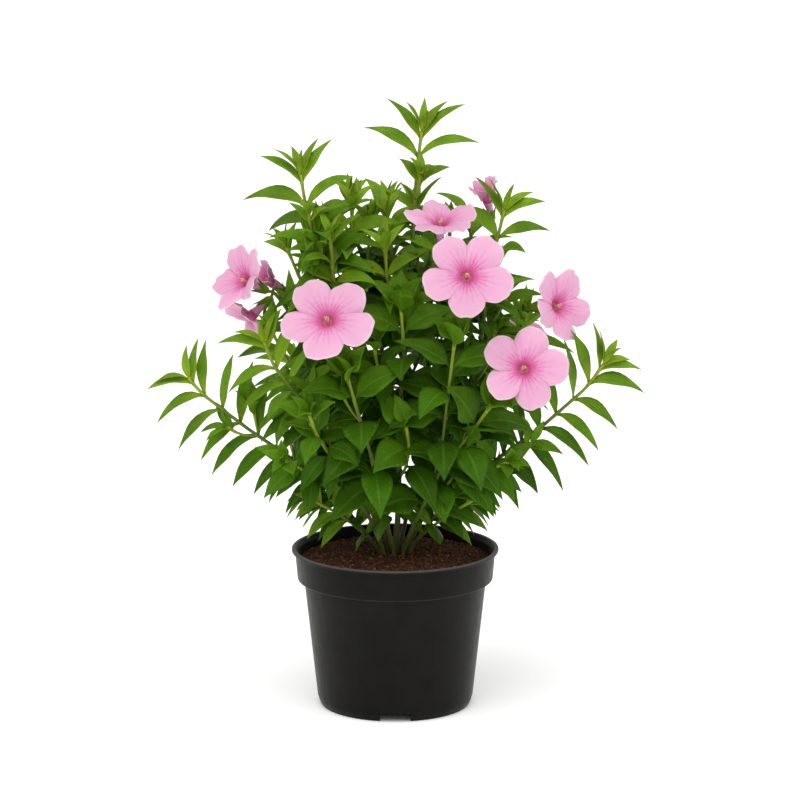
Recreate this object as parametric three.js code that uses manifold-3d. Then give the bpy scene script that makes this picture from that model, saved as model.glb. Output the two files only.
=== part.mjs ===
// A Philippine violet in flower, growing in a black nursery pot. Millimetres, +Z up.
// The origin is the middle of the pot's underside, on the surface that the pot stands on.
// Front is -Y. Leafy stems rise from one clump in the soil, some of them fork, and each flower
// is a five-lobed trumpet that stands in a green calyx at the end of its own short stalk.

import * as THREE from "three";
import { mergeVertices } from "three/addons/utils/BufferGeometryUtils.js";
import Module from "manifold-3d";

const wasm = await Module();
wasm.setup();

// Driving dimensions of the pot: a stepped band under a lip, and a raised floor between the flat
// disc and the ring that the pot stands on
const POT = {
  height: 116,
  rim: 75,
  lip: 2.4,
  lipWide: 2.7,
  bandTop: 72.6,
  bandFoot: 70.8,
  ledge: 92,
  step: 1.2,
  bodyTop: 66,
  bodyFoot: 56.4,
  bevel: 5,
  foot: 54,
  ring: 2.5,
  disc: 22,
  wall: 2.2,
  floor: 6,
  sides: 24,
};
const NOTCH = { count: 4, width: 22, height: 5.4, depth: 14 };
const DRAIN = { count: 8, radius: 4, circle: 38, sides: 6 };

// Driving dimensions of the soil, and of the holes that the stems stand in
const SOIL = { edge: 107.5, mound: 4, crumb: 0.55, sides: 20, rings: [52, 34, 16] };
const HOLE = { depth: 12, sides: 5 };

// Clearance between pieces that touch, and between a leaf and whatever it passes
const GAP = 0.35;
const LEAF_GAP = 0.7;

// Driving dimensions of the plant. fork is a side shoot's share of its stem's radius, and upright
// the straight length of a stem just above the soil.
const STEM = { sides: 4, tip: 1.35, fork: 0.62, step: 34, upright: 2 };
const LEAF = {
  keel: 1.3,
  root: 0.3,
  firstPair: 1.5,
  youngGap: 4.6,
  openGap: 15,
  spread: 52,
  oldGap: 22,
  grownAt: 9,
  spreadAt: 45,
  oldFrom: 90,
  oldBy: 180,
};
const FLOWER = { full: 33, small: 0.6, petals: 5, throat: 5.6, neck: 2.9, tube: 19, depth: 14 };
const PETAL = { sheet: 1.1, notch: 0.33, dimple: 0.03, wave: 0.9, arch: 6.4, crease: 1.6, curl: 2.2 };
const CALYX = { cup: 3.5, inside: 2.75, tip: [5.9, -7.6], between: [4.3, -14.6], stalk: 1.2 };

// Colours and roughness of the real thing
const COLOUR = {
  pot: [0x1d1d1f, 0.45],
  soil: [0x4a2a17, 0.95],
  leaf: [0x4a8a1f, 0.5],
  petal: [0xf3a6cf, 0.55],
  stamen: [0xd9a494, 0.6],
};

// The stems, each a list of shoots. A shoot runs through its points, from its foot in the soil or
// from a share of the way along the stem's first shoot. bare is the length without leaves at its
// lower end, leaf the length and width of a grown leaf, open the distance from the second pair of
// leaves to the third and gap that between the next pairs, phase the turn of the first pair round
// the shoot, turn the angle from one pair to the next and spread how far grown leaves lean away
// from it. face is the side that the leaves turn their upper faces to. A bloom's aim is its
// azimuth to the right of the viewer's line and its elevation, and lift is how far its petals
// close. All angles are in degrees.
const FRONT = [0, -1, 0.7];
const BACK = [0, 1, 0.7];
const STEMS = [
  {
    name: "top_centre",
    radius: 2.6,
    foot: [1.6, 3.5],
    shoots: [
      {
        to: [[5, 8, 223], [12, 10, 330], [15, 10, 384], [19, 8, 418]],
        bare: 281, leaf: [51, 13], phase: 20, turn: -10, open: 13,
      },
      {
        from: 0.44, to: [[8, 30, 285], [-3, 42, 328], [-6, 46, 361]],
        bare: 45, leaf: [41, 12], phase: 40, gap: 15,
      },
      {
        from: 0.4, to: [[24, 28, 266], [36, 34, 310], [40, 34, 345]],
        bare: 30, leaf: [41, 12], phase: 10, gap: 15,
      },
      {
        from: 0.845, to: [[17, 4, 379], [18, 0, 387]],
        bare: 3, leaf: [33, 12], phase: 90,
      },
    ],
    blooms: [
      { shoot: 0, from: 0.62, at: [32, -30, 357], aim: [8, 70], size: 28, lift: 20, roll: 20 },
    ],
  },
  {
    name: "upper_left",
    radius: 2.4,
    foot: [-4, 2.3],
    shoots: [
      {
        to: [[-32, 2, 225], [-49, -6, 320], [-62, -6, 360], [-67, -6, 389]],
        bare: 170, leaf: [50, 13], phase: 25, turn: -25, open: 17, gap: 13,
      },
      {
        from: 0.54, to: [[-38, -18, 290], [-44, -25, 322], [-46, -26, 348]],
        bare: 20, leaf: [40, 12], phase: 60, gap: 14,
      },
      {
        from: 0.44, to: [[-34, 26, 285], [-31, 38, 332], [-32, 41, 365]],
        bare: 40, leaf: [41, 12], phase: 20, gap: 14,
      },
      {
        from: 0.74, to: [[-59, -14, 350], [-61, -18, 362]],
        bare: 6, leaf: [26, 9], phase: 70, gap: 8,
      },
      {
        from: 0.4, to: [[-24, 12, 272], [-20, 18, 318], [-18, 20, 350]],
        bare: 52, leaf: [40, 12], gap: 16,
      },
    ],
    blooms: [],
  },
  {
    name: "upper_right",
    radius: 2.4,
    foot: [4.7, -0.8],
    shoots: [
      {
        to: [[19, -3, 135], [40, -8, 195], [60, -6, 262], [68, 0, 318], [78, 6, 362]],
        bare: 135, leaf: [48, 13], phase: 20, turn: -25, gap: 14,
      },
      {
        from: 0.56, to: [[66, 24, 268], [70, 34, 294], [72, 37, 315]],
        bare: 24, leaf: [42, 12], phase: 40, gap: 15,
      },
    ],
    blooms: [
      { shoot: 0, from: 0.84, at: [66, 24, 367], aim: [-35, 66], size: 21, lift: 62, roll: 10 },
    ],
  },
  {
    name: "right_lower",
    radius: 2.3,
    foot: [10, -3.1],
    shoots: [
      {
        to: [[30, -8, 143], [56, -12, 172], [88, -14, 194], [132, -16, 232], [149, -16, 254]],
        bare: 42, leaf: [46, 12.5], phase: 20, turn: -6, open: 12, gap: 16,
        spread: 40,
      },
      {
        from: 0.36, to: [[64, -37, 180], [80, -51, 190]],
        bare: 22, leaf: [34, 15], phase: 30, turn: 70, gap: 15,
      },
    ],
    blooms: [],
  },
  {
    name: "left_lower",
    radius: 2.3,
    foot: [-10, -2.3],
    shoots: [
      {
        to: [[-35, -8, 145], [-59, -12, 173], [-90, -14, 195], [-133, -16, 228], [-148, -16, 244]],
        bare: 42, leaf: [45, 12.5], phase: 20, turn: -6, open: 12, gap: 16,
        spread: 40,
      },
      {
        from: 0.36, to: [[-63, -37, 180], [-78, -53, 192]],
        bare: 22, leaf: [34, 15], phase: 30, turn: 70, gap: 15,
      },
    ],
    blooms: [],
  },
  {
    name: "left_mid",
    radius: 2.2,
    foot: [-7.8, -7.8],
    shoots: [
      {
        to: [[-17, -18, 139], [-39, -28, 185], [-61, -32, 224], [-86, -33, 256], [-93, -32, 273]],
        bare: 80, leaf: [43, 11.5], phase: 20, turn: -8, gap: 14,
      },
      {
        from: 0.45, to: [[-52, -56, 204], [-60, -70, 228]],
        bare: 8, leaf: [38, 16], phase: 60, gap: 16,
      },
    ],
    blooms: [],
  },
  {
    name: "front_left",
    radius: 2.2,
    foot: [-0.8, -10],
    shoots: [
      {
        to: [[-5, -20, 134], [-14, -38, 181], [-25, -54, 222], [-34, -64, 256]],
        bare: 58, leaf: [49, 26], phase: 10, gap: 19,
      },
    ],
    blooms: [
      { shoot: 0, from: 0.97, at: [-47, -84, 298], aim: [-10, 42], size: 35, lift: 10, roll: -90 },
    ],
  },
  {
    name: "front_right",
    radius: 2.2,
    foot: [5.5, -8.6],
    shoots: [
      {
        to: [[12, -20, 134], [30, -38, 177], [53, -51, 210], [68, -57, 233]],
        bare: 50, leaf: [49, 25], phase: 25, gap: 19,
      },
      {
        from: 0.5, to: [[34, -48, 208], [38, -58, 246], [42, -60, 280]],
        bare: 12, leaf: [47, 25], gap: 19,
      },
    ],
    blooms: [
      { shoot: 0, from: 0.96, at: [90, -78, 263], aim: [-2, 20], size: 32, lift: 10, roll: -70 },
      { shoot: 1, from: 0.94, at: [50, -76, 328], aim: [2, 30], size: 33, lift: 10, roll: -92 },
    ],
  },
  {
    name: "centre_front",
    radius: 2.2,
    foot: [-0.8, -3.9],
    shoots: [
      {
        to: [[2, -10, 153], [2, -24, 208], [6, -34, 262], [4, -36, 300]],
        bare: 72, leaf: [49, 25], gap: 19,
      },
      {
        from: 0.34, to: [[10, -38, 190], [8, -52, 216]],
        bare: 8, leaf: [48, 25], phase: 40, gap: 19,
      },
    ],
    blooms: [],
  },
  {
    name: "right_back",
    radius: 2.3,
    foot: [9.4, 5.5],
    shoots: [
      {
        to: [[22, 18, 148], [56, 32, 198], [83, 22, 250], [92, 14, 282]],
        bare: 76, leaf: [44, 10.5], gap: 17,
      },
      {
        from: 0.5, to: [[72, 60, 222], [92, 78, 262]],
        bare: 15, leaf: [40, 12], phase: 30, face: BACK,
      },
    ],
    blooms: [
      { shoot: 0, from: 0.94, at: [115, -10, 295], aim: [46, 16], size: 30, lift: 22, roll: -24 },
    ],
  },
  {
    name: "left_back",
    radius: 2.3,
    foot: [-9.4, 5.5],
    shoots: [
      {
        to: [[-20, 18, 148], [-46, 28, 205], [-66, 20, 262], [-74, 12, 288]],
        bare: 85, leaf: [44, 10.5], gap: 17,
      },
      {
        from: 0.5, to: [[-68, 52, 226], [-92, 68, 264]],
        bare: 15, leaf: [40, 12], phase: 30, face: BACK,
      },
    ],
    blooms: [
      { shoot: 0, from: 0.95, at: [-106, -10, 313], aim: [-56, 26], size: 29, lift: 28, roll: 54 },
      { shoot: 0, from: 0.84, at: [-103, 1, 286], aim: [-62, -38], size: 27, lift: 26, roll: 20 },
      { shoot: 0, from: 0.99, at: [-90, 18, 308], aim: [-50, 34], size: 23, lift: 64, roll: 15 },
    ],
  },
  {
    name: "back_left",
    radius: 2.3,
    foot: [-4, 10],
    shoots: [
      {
        to: [[-14, 32, 159], [-30, 68, 206], [-42, 88, 246], [-46, 94, 276]],
        bare: 90, leaf: [43, 13], face: BACK,
      },
      {
        from: 0.42, to: [[-44, 88, 190], [-66, 118, 208], [-76, 132, 228]],
        bare: 22, leaf: [40, 12], turn: 30, face: BACK,
      },
    ],
    blooms: [
      { shoot: 0, from: 0.95, at: [-50, 122, 268], aim: [192, 26], size: 30, lift: 14, roll: -90 },
    ],
  },
  {
    name: "back_right",
    radius: 2.3,
    foot: [3.1, 10],
    shoots: [
      {
        to: [[14, 34, 159], [24, 68, 212], [26, 88, 264], [26, 92, 306]],
        bare: 100, leaf: [43, 13], face: BACK,
      },
      {
        from: 0.42, to: [[44, 88, 190], [72, 112, 196], [86, 126, 212]],
        bare: 22, leaf: [40, 12], turn: 30, face: BACK,
      },
    ],
    blooms: [
      { shoot: 1, from: 0.93, at: [94, 142, 236], aim: [160, 30], size: 29, lift: 14, roll: -80 },
    ],
  },
];

// The ways a leaf may be bent to clear its neighbours, as extra turn and lift in degrees
const BENDS = [
  [0, 0], [12, 0], [-12, 0], [0, 12], [0, -12], [24, 4], [-24, 4],
  [18, -14], [-18, -14], [38, 0], [-38, 0], [0, 24],
];

const degrees = (angle) => (angle * Math.PI) / 180;
const mix = (a, b, share) => a + (b - a) * share;
const clamp = (value, low, high) => Math.min(high, Math.max(low, value));
const vector = (x, y, z) => new THREE.Vector3(x, y, z);
const crossed = (a, b) => new THREE.Vector3().crossVectors(a, b);

// The direction at an angle from the first of two directions towards the second
const swing = (first, second, angle) =>
  first.clone().multiplyScalar(Math.cos(angle)).addScaledVector(second, Math.sin(angle));

// The part of a direction that is square to an axis
const squared = (direction, axis) =>
  direction.clone().addScaledVector(axis, -direction.dot(axis)).normalize();

// A fixed draw from 0 to 1 for each set of keys, so that the plant is the same every time
function draw(...keys) {
  const sum = keys.reduce((total, key, place) => total + key * (12.9898 + 65.2331 * place), 0.5);
  const wave = Math.sin(sum) * 43758.5453;
  return wave - Math.floor(wave);
}

// A closed surface put together from rings of points
class Surface {
  constructor() {
    this.points = [];
    this.faces = [];
  }

  point(p) {
    this.points.push(p.x, p.y, p.z);
    return this.points.length / 3 - 1;
  }

  ring(points) {
    return points.map((p) => this.point(p));
  }

  face(a, b, c, flip) {
    this.faces.push(a, flip ? c : b, flip ? b : c);
  }

  // A band between two rings, which may have different numbers of points
  band(low, high, flip = false) {
    let i = 0;
    let j = 0;
    while (i < low.length || j < high.length) {
      const a = low[i % low.length];
      const b = high[j % high.length];
      const lowIsNext = (i + 0.5) / low.length <= (j + 0.5) / high.length;
      if (i < low.length && (j >= high.length || lowIsNext)) {
        this.face(a, low[(i + 1) % low.length], b, flip);
        i += 1;
      } else {
        this.face(a, high[(j + 1) % high.length], b, flip);
        j += 1;
      }
    }
  }

  fan(tip, ring, flip = false) {
    const centre = this.point(tip);
    ring.forEach((a, i) => this.face(centre, a, ring[(i + 1) % ring.length], flip));
  }

  // Rings in turn, joined by bands and closed by a fan at either end
  stack(bottom, rings, top) {
    this.fan(bottom, rings[0], true);
    for (let i = 1; i < rings.length; i++) this.band(rings[i - 1], rings[i]);
    this.fan(top, rings.at(-1));
    return this;
  }

  geometry() {
    const shape = new THREE.BufferGeometry();
    shape.setAttribute("position", new THREE.Float32BufferAttribute(this.points, 3));
    shape.setIndex(this.faces);
    return shape;
  }
}

function solidOf(geometry) {
  const bare = geometry.clone();
  bare.deleteAttribute("normal");
  bare.deleteAttribute("uv");
  const merged = mergeVertices(bare, 1e-4);
  const vertProperties = merged.attributes.position.array;
  const triVerts = new Uint32Array(merged.index.array);
  return new wasm.Manifold(new wasm.Mesh({ numProp: 3, vertProperties, triVerts }));
}

function geometryOf(solid) {
  const mesh = solid.getMesh();
  const shape = new THREE.BufferGeometry();
  shape.setAttribute("position", new THREE.BufferAttribute(mesh.vertProperties, 3));
  shape.setIndex(new THREE.BufferAttribute(mesh.triVerts, 1));
  return shape;
}

const circle = (count, radius, z, shift = 0) =>
  Array.from({ length: count }, (_, i) => {
    const angle = (2 * Math.PI * (i + shift)) / count;
    return vector(radius * Math.cos(angle), radius * Math.sin(angle), z);
  });

// Pot: a turned shell, with notches in its foot ring and drainage holes in its floor
function potSolid() {
  const { height, rim, lip, ledge, floor, wall, disc } = POT;
  const profile = [
    [0, 0],
    [disc, 0],
    [disc + wall, floor],
    [POT.foot - POT.ring, floor],
    [POT.foot - POT.ring, 0],
    [POT.foot, 0],
    [POT.bodyFoot, POT.bevel],
    [POT.bodyTop, ledge],
    [POT.bandFoot, ledge + POT.step],
    [POT.bandTop, height - lip - 1],
    [rim, height - lip],
    [rim, height],
    [rim - POT.lipWide, height],
    [POT.bandTop - wall, height - lip - 1],
    [POT.bandFoot - wall, ledge + POT.step],
    [POT.bodyTop - wall, ledge],
    [POT.bodyFoot - wall, floor + wall],
    [disc + 2 * wall, floor + wall],
    [disc - wall, wall],
    [0, wall],
  ].map(([radius, z]) => new THREE.Vector2(radius, z));
  let solid = solidOf(new THREE.LatheGeometry(profile, POT.sides).rotateX(Math.PI / 2));
  for (let i = 0; i < NOTCH.count; i++) {
    const notch = new THREE.BoxGeometry(NOTCH.depth, NOTCH.width, 2 * NOTCH.height)
      .translate(POT.foot, 0, 0)
      .rotateZ((2 * Math.PI * i) / NOTCH.count);
    solid = solid.subtract(solidOf(notch));
  }
  for (const { x, y } of circle(DRAIN.count, DRAIN.circle, 0, 0.5)) {
    const drill = new THREE.CylinderGeometry(DRAIN.radius, DRAIN.radius, 4 * wall, DRAIN.sides)
      .rotateX(Math.PI / 2)
      .translate(x, y, floor + wall / 2);
    solid = solid.subtract(solidOf(drill));
  }
  return solid;
}

// Soil: fills the pot to just under its rim, mounded and crumbly on top
function soilHeight(x, y) {
  const share = Math.hypot(x, y) / POT.bodyTop;
  const crumbs = Math.sin(x * 0.31 + 1.3) * Math.cos(y * 0.27) + Math.sin((x - y) * 0.19);
  return SOIL.edge + SOIL.mound * (1 - share * share) + SOIL.crumb * crumbs;
}

function soilSolid() {
  const { wall, disc, ledge, height, bandFoot, bandTop } = POT;
  const clear = wall + 2.3 * GAP;
  const low = POT.floor + wall + GAP;
  const edge = mix(bandFoot, bandTop, (SOIL.edge - ledge) / (height - ledge)) - clear;
  const surface = new Surface();
  const ring = (radius, z) => surface.ring(circle(SOIL.sides, radius, z));
  const crumbly = (radius) =>
    surface.ring(circle(SOIL.sides, radius, 0).map((p) => p.setZ(soilHeight(p.x, p.y))));
  const rings = [
    ring(disc - wall - 2 * GAP, wall + GAP),
    ring(disc + 2 * wall - GAP, low),
    ring(POT.bodyFoot - clear, low),
    ring(POT.bodyTop - clear, ledge + GAP),
    ring(bandFoot - clear, ledge + POT.step + GAP),
    ring(edge, SOIL.edge),
    ...SOIL.rings.map(crumbly),
  ];
  surface.stack(vector(0, 0, wall + GAP), rings, vector(0, 0, soilHeight(0, 0)));
  return solidOf(surface.geometry());
}

// A plain hole in the soil for a stem's foot
function holeFor({ radius, foot: [x, y] }) {
  const wide = (radius + GAP) / Math.cos(Math.PI / HOLE.sides);
  const hole = new THREE.CylinderGeometry(wide, wide, 2 * HOLE.depth, HOLE.sides)
    .rotateX(Math.PI / 2)
    .translate(x, y, soilHeight(x, y) - GAP);
  return solidOf(hole);
}

// Shoots: each one's line is a few straight steps, which its tube and its leaves both follow
function shootLine(points, buried) {
  let straight = 0;
  for (let i = 1; i < points.length; i++) straight += points[i].distanceTo(points[i - 1]);
  const curve = new THREE.CatmullRomCurve3(points, false, "catmullrom", 0.5);
  const steps = Math.max(3, Math.round(straight / STEM.step));
  const line = [...buried, ...curve.getPoints(steps)];
  const reach = [0];
  for (let i = 1; i < line.length; i++) reach.push(reach[i - 1] + line[i].distanceTo(line[i - 1]));
  return { line, reach, length: reach.at(-1) };
}

// The point and direction at a distance from the line's start
function along({ line, reach }, distance) {
  const past = reach.findIndex((end) => end > distance);
  const next = past > 0 ? past : line.length - 1;
  const share = (distance - reach[next - 1]) / (reach[next] - reach[next - 1]);
  return {
    point: line[next - 1].clone().lerp(line[next], share),
    axis: line[next].clone().sub(line[next - 1]).normalize(),
  };
}

// Two directions square to an axis: one in the picture plane and one that runs front to back
function across(axis) {
  const toViewer = vector(0, -1, 0.02);
  const first = crossed(axis, toViewer).normalize();
  const second = crossed(axis, first).normalize();
  return [first, second];
}

// Square-cornered rings round a line
function tubeRings(surface, line, radii, turn) {
  return line.map((p, i) => {
    const ahead = line[Math.min(i + 1, line.length - 1)];
    const behind = line[Math.max(i - 1, 0)];
    const [first, second] = across(ahead.clone().sub(behind).normalize());
    const corners = Array.from({ length: STEM.sides }, (_, k) => {
      const angle = (2 * Math.PI * (k + 0.5)) / STEM.sides + turn;
      return p.clone().addScaledVector(swing(first, second, angle), radii[i]);
    });
    return surface.ring(corners);
  });
}

function shootSolid(shoot, radius, turn) {
  const radii = shoot.reach.map((reach) => mix(radius, STEM.tip, reach / shoot.length));
  const surface = new Surface();
  const rings = tubeRings(surface, shoot.line, radii, turn);
  surface.stack(shoot.line[0], rings, shoot.line.at(-1));
  return solidOf(surface.geometry());
}

// Leaves: opposite pairs down a shoot from its tip, small and upright there and spreading lower
function leavesOf(shoot, plan, keys) {
  const leaves = [];
  const [length, width] = plan.leaf;
  const face = vector(...(plan.face ?? FRONT)).normalize();
  const gaps = [LEAF.youngGap, plan.open ?? LEAF.openGap];
  let down = LEAF.firstPair;
  for (let pair = 0; down < shoot.length - plan.bare; pair++) {
    const { point, axis } = along(shoot, shoot.length - down);
    const [first, second] = across(axis);
    const grown = clamp(down / LEAF.grownAt, 0, 1);
    const age = clamp(down / LEAF.spreadAt, 0, 1);
    const old = clamp((down - LEAF.oldFrom) / (LEAF.oldBy - LEAF.oldFrom), 0, 1);
    for (let side = 0; side < 2; side++) {
      const vary = (n, low, high) => mix(low, high, draw(...keys, pair, side, n));
      leaves.push({
        point,
        axis,
        first,
        second,
        face,
        turn: (plan.phase ?? 0) + pair * (plan.turn ?? 90) + side * 180 + vary(1, -10, 10),
        rise: 16 + (plan.spread ?? LEAF.spread) * Math.pow(age, 0.7) + vary(2, -7, 7),
        sag: mix(1.2, 2.3, age) * vary(3, 0.8, 1.2),
        length: length * mix(0.5, 1, grown) * mix(1, 0.6, old) * vary(4, 0.88, 1.08),
        width: width * mix(0.5, 1, grown) * vary(5, 0.9, 1.1),
        twist: vary(6, -12, 12),
      });
    }
    down += gaps[pair] ?? plan.gap ?? LEAF.oldGap;
  }
  return leaves;
}

// The blade's outline: shares of its length, and of its width there
const STATIONS = [0, 0.36, 0.7, 1];
const SPANS = [0, 1, 0.64, 0];

// The blade's middle line: it leaves the stem at an angle and sags under its own weight
function bladeLine(leaf, [moreTurn, moreLift]) {
  const out = swing(leaf.first, leaf.second, degrees(leaf.turn + moreTurn));
  const start = swing(leaf.axis, out, degrees(leaf.rise - moreLift));
  start.add(vector(0, 0, 0.35)).normalize();
  const sag = leaf.sag * Math.hypot(start.x, start.y);
  const heading = (s) =>
    start.clone().addScaledVector(out, 0.85 * s).add(vector(0, 0, -sag * s)).normalize();
  const line = [leaf.point.clone().addScaledVector(out, LEAF.root)];
  for (let i = 1; i < STATIONS.length; i++) {
    const middle = (STATIONS[i] + STATIONS[i - 1]) / 2;
    const step = leaf.length * (STATIONS[i] - STATIONS[i - 1]);
    line.push(line[i - 1].clone().addScaledVector(heading(middle), step));
  }
  return { line, heading, lateral: crossed(leaf.axis, out).normalize() };
}

// The lateral and upward directions of the blade at a heading, turned part of the way to the light
function bladeFrame(leaf, heading, lateral) {
  const wide = squared(lateral, heading);
  const up = crossed(heading, wide);
  const light = squared(leaf.face, heading);
  const away = Math.atan2(crossed(up, light).dot(heading), up.dot(light));
  const twist = 0.6 * clamp(away, -1.1, 1.1) + degrees(leaf.twist);
  return [wide.applyAxisAngle(heading, twist), up.applyAxisAngle(heading, twist)];
}

// An arched, pointed blade with a keel under it. grow makes it fatter all round, and outer
// leaves out its foot.
function blade(leaf, bend, grow = 0, outer = false) {
  const { line, heading, lateral } = bladeLine(leaf, bend);
  const surface = new Surface();
  const section = (i) => {
    const [wide, up] = bladeFrame(leaf, heading(STATIONS[i]), lateral);
    const half = (SPANS[i] * leaf.width) / 2 + grow;
    const at = (side, rise) => line[i].clone().addScaledVector(wide, side).addScaledVector(up, rise);
    return surface.ring([at(half, grow), at(-half, grow), at(0, -LEAF.keel - grow)]);
  };
  const foot = outer ? line[0].clone().lerp(line[1], 0.5) : line[0];
  const tip = line[3].clone().addScaledVector(heading(1), grow);
  const [rightA, leftA, keelA] = section(1);
  const [rightB, leftB, keelB] = section(2);
  surface.fan(foot, [rightA, leftA, keelA], true);
  surface.face(rightA, leftA, rightB);
  surface.face(leftA, leftB, rightB);
  surface.face(leftA, keelA, leftB);
  surface.face(keelA, keelB, leftB);
  surface.face(keelA, rightA, rightB);
  surface.face(keelA, rightB, keelB);
  surface.fan(tip, [rightB, leftB, keelB]);
  return solidOf(surface.geometry());
}

// Flowers, each in its own frame: +Z is the way it faces and the throat's mouth is the origin
const flowerScale = (bloom) => mix(FLOWER.small, 1, bloom.size / FLOWER.full);
const columnsOf = (bloom) => (bloom.size < 31 ? 4 : 6);

// A ring of the limb, at a share of the way out to the petals' edge
function limbRing(bloom, out, drop) {
  const throat = FLOWER.throat * flowerScale(bloom);
  const lift = degrees(bloom.lift);
  const columns = columnsOf(bloom);
  const count = FLOWER.petals * columns;
  return Array.from({ length: count }, (_, column) => {
    const share = Math.abs((column % columns) - columns / 2) / (columns / 2);
    const reach = 1 - PETAL.notch * Math.pow(share, 3) - PETAL.dimple * Math.pow(1 - share, 4);
    const angle = (2 * Math.PI * (column - columns / 2)) / count;
    const length = (bloom.size * reach - throat) * out;
    const radius = throat + length * Math.cos(lift);
    const wave = PETAL.wave * Math.sin(column * 2.3 + bloom.size) * out;
    const arch = PETAL.arch * out * (1 - out) * (1 - share * share);
    const fall = PETAL.crease * share * share * out + PETAL.curl * out * out + drop;
    const z = length * Math.sin(lift) + arch + wave - fall;
    return vector(radius * Math.cos(angle), radius * Math.sin(angle), z);
  });
}

function corolla(bloom) {
  const scale = flowerScale(bloom);
  const { throat, neck, tube, depth } = FLOWER;
  const surface = new Surface();
  const ring = (radius, z) =>
    surface.ring(circle(2 * FLOWER.petals, radius * scale, z * scale, -0.5));
  const throatFloor = ring(neck - PETAL.sheet, -depth);
  const mouth = ring(throat, -0.6);
  const limbFront = surface.ring(limbRing(bloom, 0.5, 0));
  const edge = surface.ring(limbRing(bloom, 1, 0));
  const limbBack = surface.ring(limbRing(bloom, 0.5, PETAL.sheet));
  const mouthBack = ring(throat + 0.9, -2.6);
  const waist = ring(neck, -depth - 0.4);
  const end = ring(neck - 0.8, -tube);
  surface.fan(vector(0, 0, -depth * scale), throatFloor);
  surface.band(throatFloor, mouth, true);
  surface.band(mouth, limbFront, true);
  surface.band(limbFront, edge, true);
  surface.band(limbBack, edge);
  surface.band(mouthBack, limbBack);
  surface.band(waist, mouthBack);
  surface.band(end, waist);
  surface.fan(vector(0, 0, -tube * scale), end, true);
  return surface.geometry();
}

// Style and stamens as one slim cluster that stands in the throat
function stamens(bloom) {
  const foot = -FLOWER.depth * flowerScale(bloom) + GAP;
  const surface = new Surface();
  const rings = [
    [0.8, foot + 0.1],
    [0.9, 1],
    [2.2, 2.6],
    [1.6, 4.8],
  ].map(([radius, z]) => surface.ring(circle(3, radius, z)));
  return surface.stack(vector(0, 0, foot), rings, vector(0, 0, 5.4)).geometry();
}

// The flower's frame in the plant's
function bloomMatrix(bloom) {
  const [azimuth, elevation] = bloom.aim.map(degrees);
  const level = vector(Math.sin(azimuth), -Math.cos(azimuth), 0);
  const facing = swing(level, vector(0, 0, 1), elevation);
  const right = crossed(vector(0, 0, 1), facing).normalize();
  const first = swing(right, crossed(facing, right), degrees(bloom.roll));
  const second = crossed(facing, first);
  return new THREE.Matrix4().makeBasis(first, second, facing).setPosition(...bloom.at);
}

// A calyx cup with pointed sepals, open round the foot of the trumpet, on a stalk that comes from
// the shoot. Both are one surface, in the plant's frame.
function stalkedCalyx(bloom, start) {
  const { cup, inside, tip, between, stalk } = CALYX;
  const { tube } = FLOWER;
  const scale = flowerScale(bloom);
  const matrix = bloomMatrix(bloom);
  const count = 2 * FLOWER.petals;
  const surface = new Surface();
  const inPlace = (p) => p.multiplyScalar(scale).applyMatrix4(matrix);
  const back = (depth) => inPlace(vector(0, 0, -depth));
  const ring = (radius, z) => surface.ring(circle(count, radius, z).map(inPlace));
  const sepals = circle(count, 1, 0).map((p, i) => {
    const [radius, z] = i % 2 ? between : tip;
    return inPlace(p.multiplyScalar(radius).setZ(z));
  });
  const line = new THREE.CatmullRomCurve3([start, back(tube + 10), back(tube + 2.6)]).getPoints(3);
  const [first, second] = across(line[3].clone().sub(line[2]).normalize());
  const flowerFirst = vector().setFromMatrixColumn(matrix, 0);
  const turn = Math.atan2(flowerFirst.dot(second), flowerFirst.dot(first)) - Math.PI / STEM.sides;
  const rings = [
    ...tubeRings(surface, line, line.map(() => stalk), turn),
    ring(cup, 0.6 - tube),
    surface.ring(sepals),
    ring(inside, -tube - 0.3),
  ];
  return solidOf(surface.stack(start, rings, back(tube + 0.6)).geometry());
}

// The bare green parts of one stem: its shoots, and each bloom's stalk and calyx
function barePieces(stem) {
  const [x, y] = stem.foot;
  const soilTop = soilHeight(x, y);
  const shoots = [];
  for (const plan of stem.shoots) {
    const through = plan.to.map((p) => vector(...p));
    if (plan.from) {
      shoots.push(shootLine([along(shoots[0], plan.from * shoots[0].length).point, ...through], []));
    } else {
      const buried = vector(x, y, soilTop - HOLE.depth);
      shoots.push(shootLine([vector(x, y, soilTop + STEM.upright), ...through], [buried]));
    }
  }
  const pieces = shoots.map((shoot, i) => {
    const radius = i ? stem.radius * STEM.fork : stem.radius;
    return shootSolid(shoot, radius, degrees(stem.shoots[i].phase ?? 0));
  });
  for (const bloom of stem.blooms) {
    const shoot = shoots[bloom.shoot];
    pieces.push(stalkedCalyx(bloom, along(shoot, bloom.from * shoot.length).point));
  }
  return { shoots, pieces };
}

// What is already in place, each with the stem that owns it
const placed = [];
const place = (solid, owner) => placed.push({ solid, owner, box: boxOf(solid) });

function boxOf(solid) {
  const { min, max } = solid.boundingBox();
  return new THREE.Box3(vector(...min), vector(...max));
}

function hits(solid, wanted) {
  const box = boxOf(solid);
  return placed.some(
    (item) => wanted(item) && item.box.intersectsBox(box) && !solid.intersect(item.solid).isEmpty(),
  );
}

// The first bend that keeps the blade clear of the other stems, and its outer part of its own
function clearBend(leaf, owner) {
  return BENDS.find((bend) => {
    if (hits(blade(leaf, bend, LEAF_GAP), (item) => item.owner !== owner)) return false;
    return !hits(blade(leaf, bend, 0.1, true), (item) => item.owner === owner);
  });
}

function meshOf(name, geometry, [color, roughness]) {
  geometry.computeVertexNormals();
  const material = new THREE.MeshStandardMaterial({ color, roughness, metalness: 0 });
  const mesh = new THREE.Mesh(geometry, material);
  mesh.name = name;
  return mesh;
}

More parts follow.
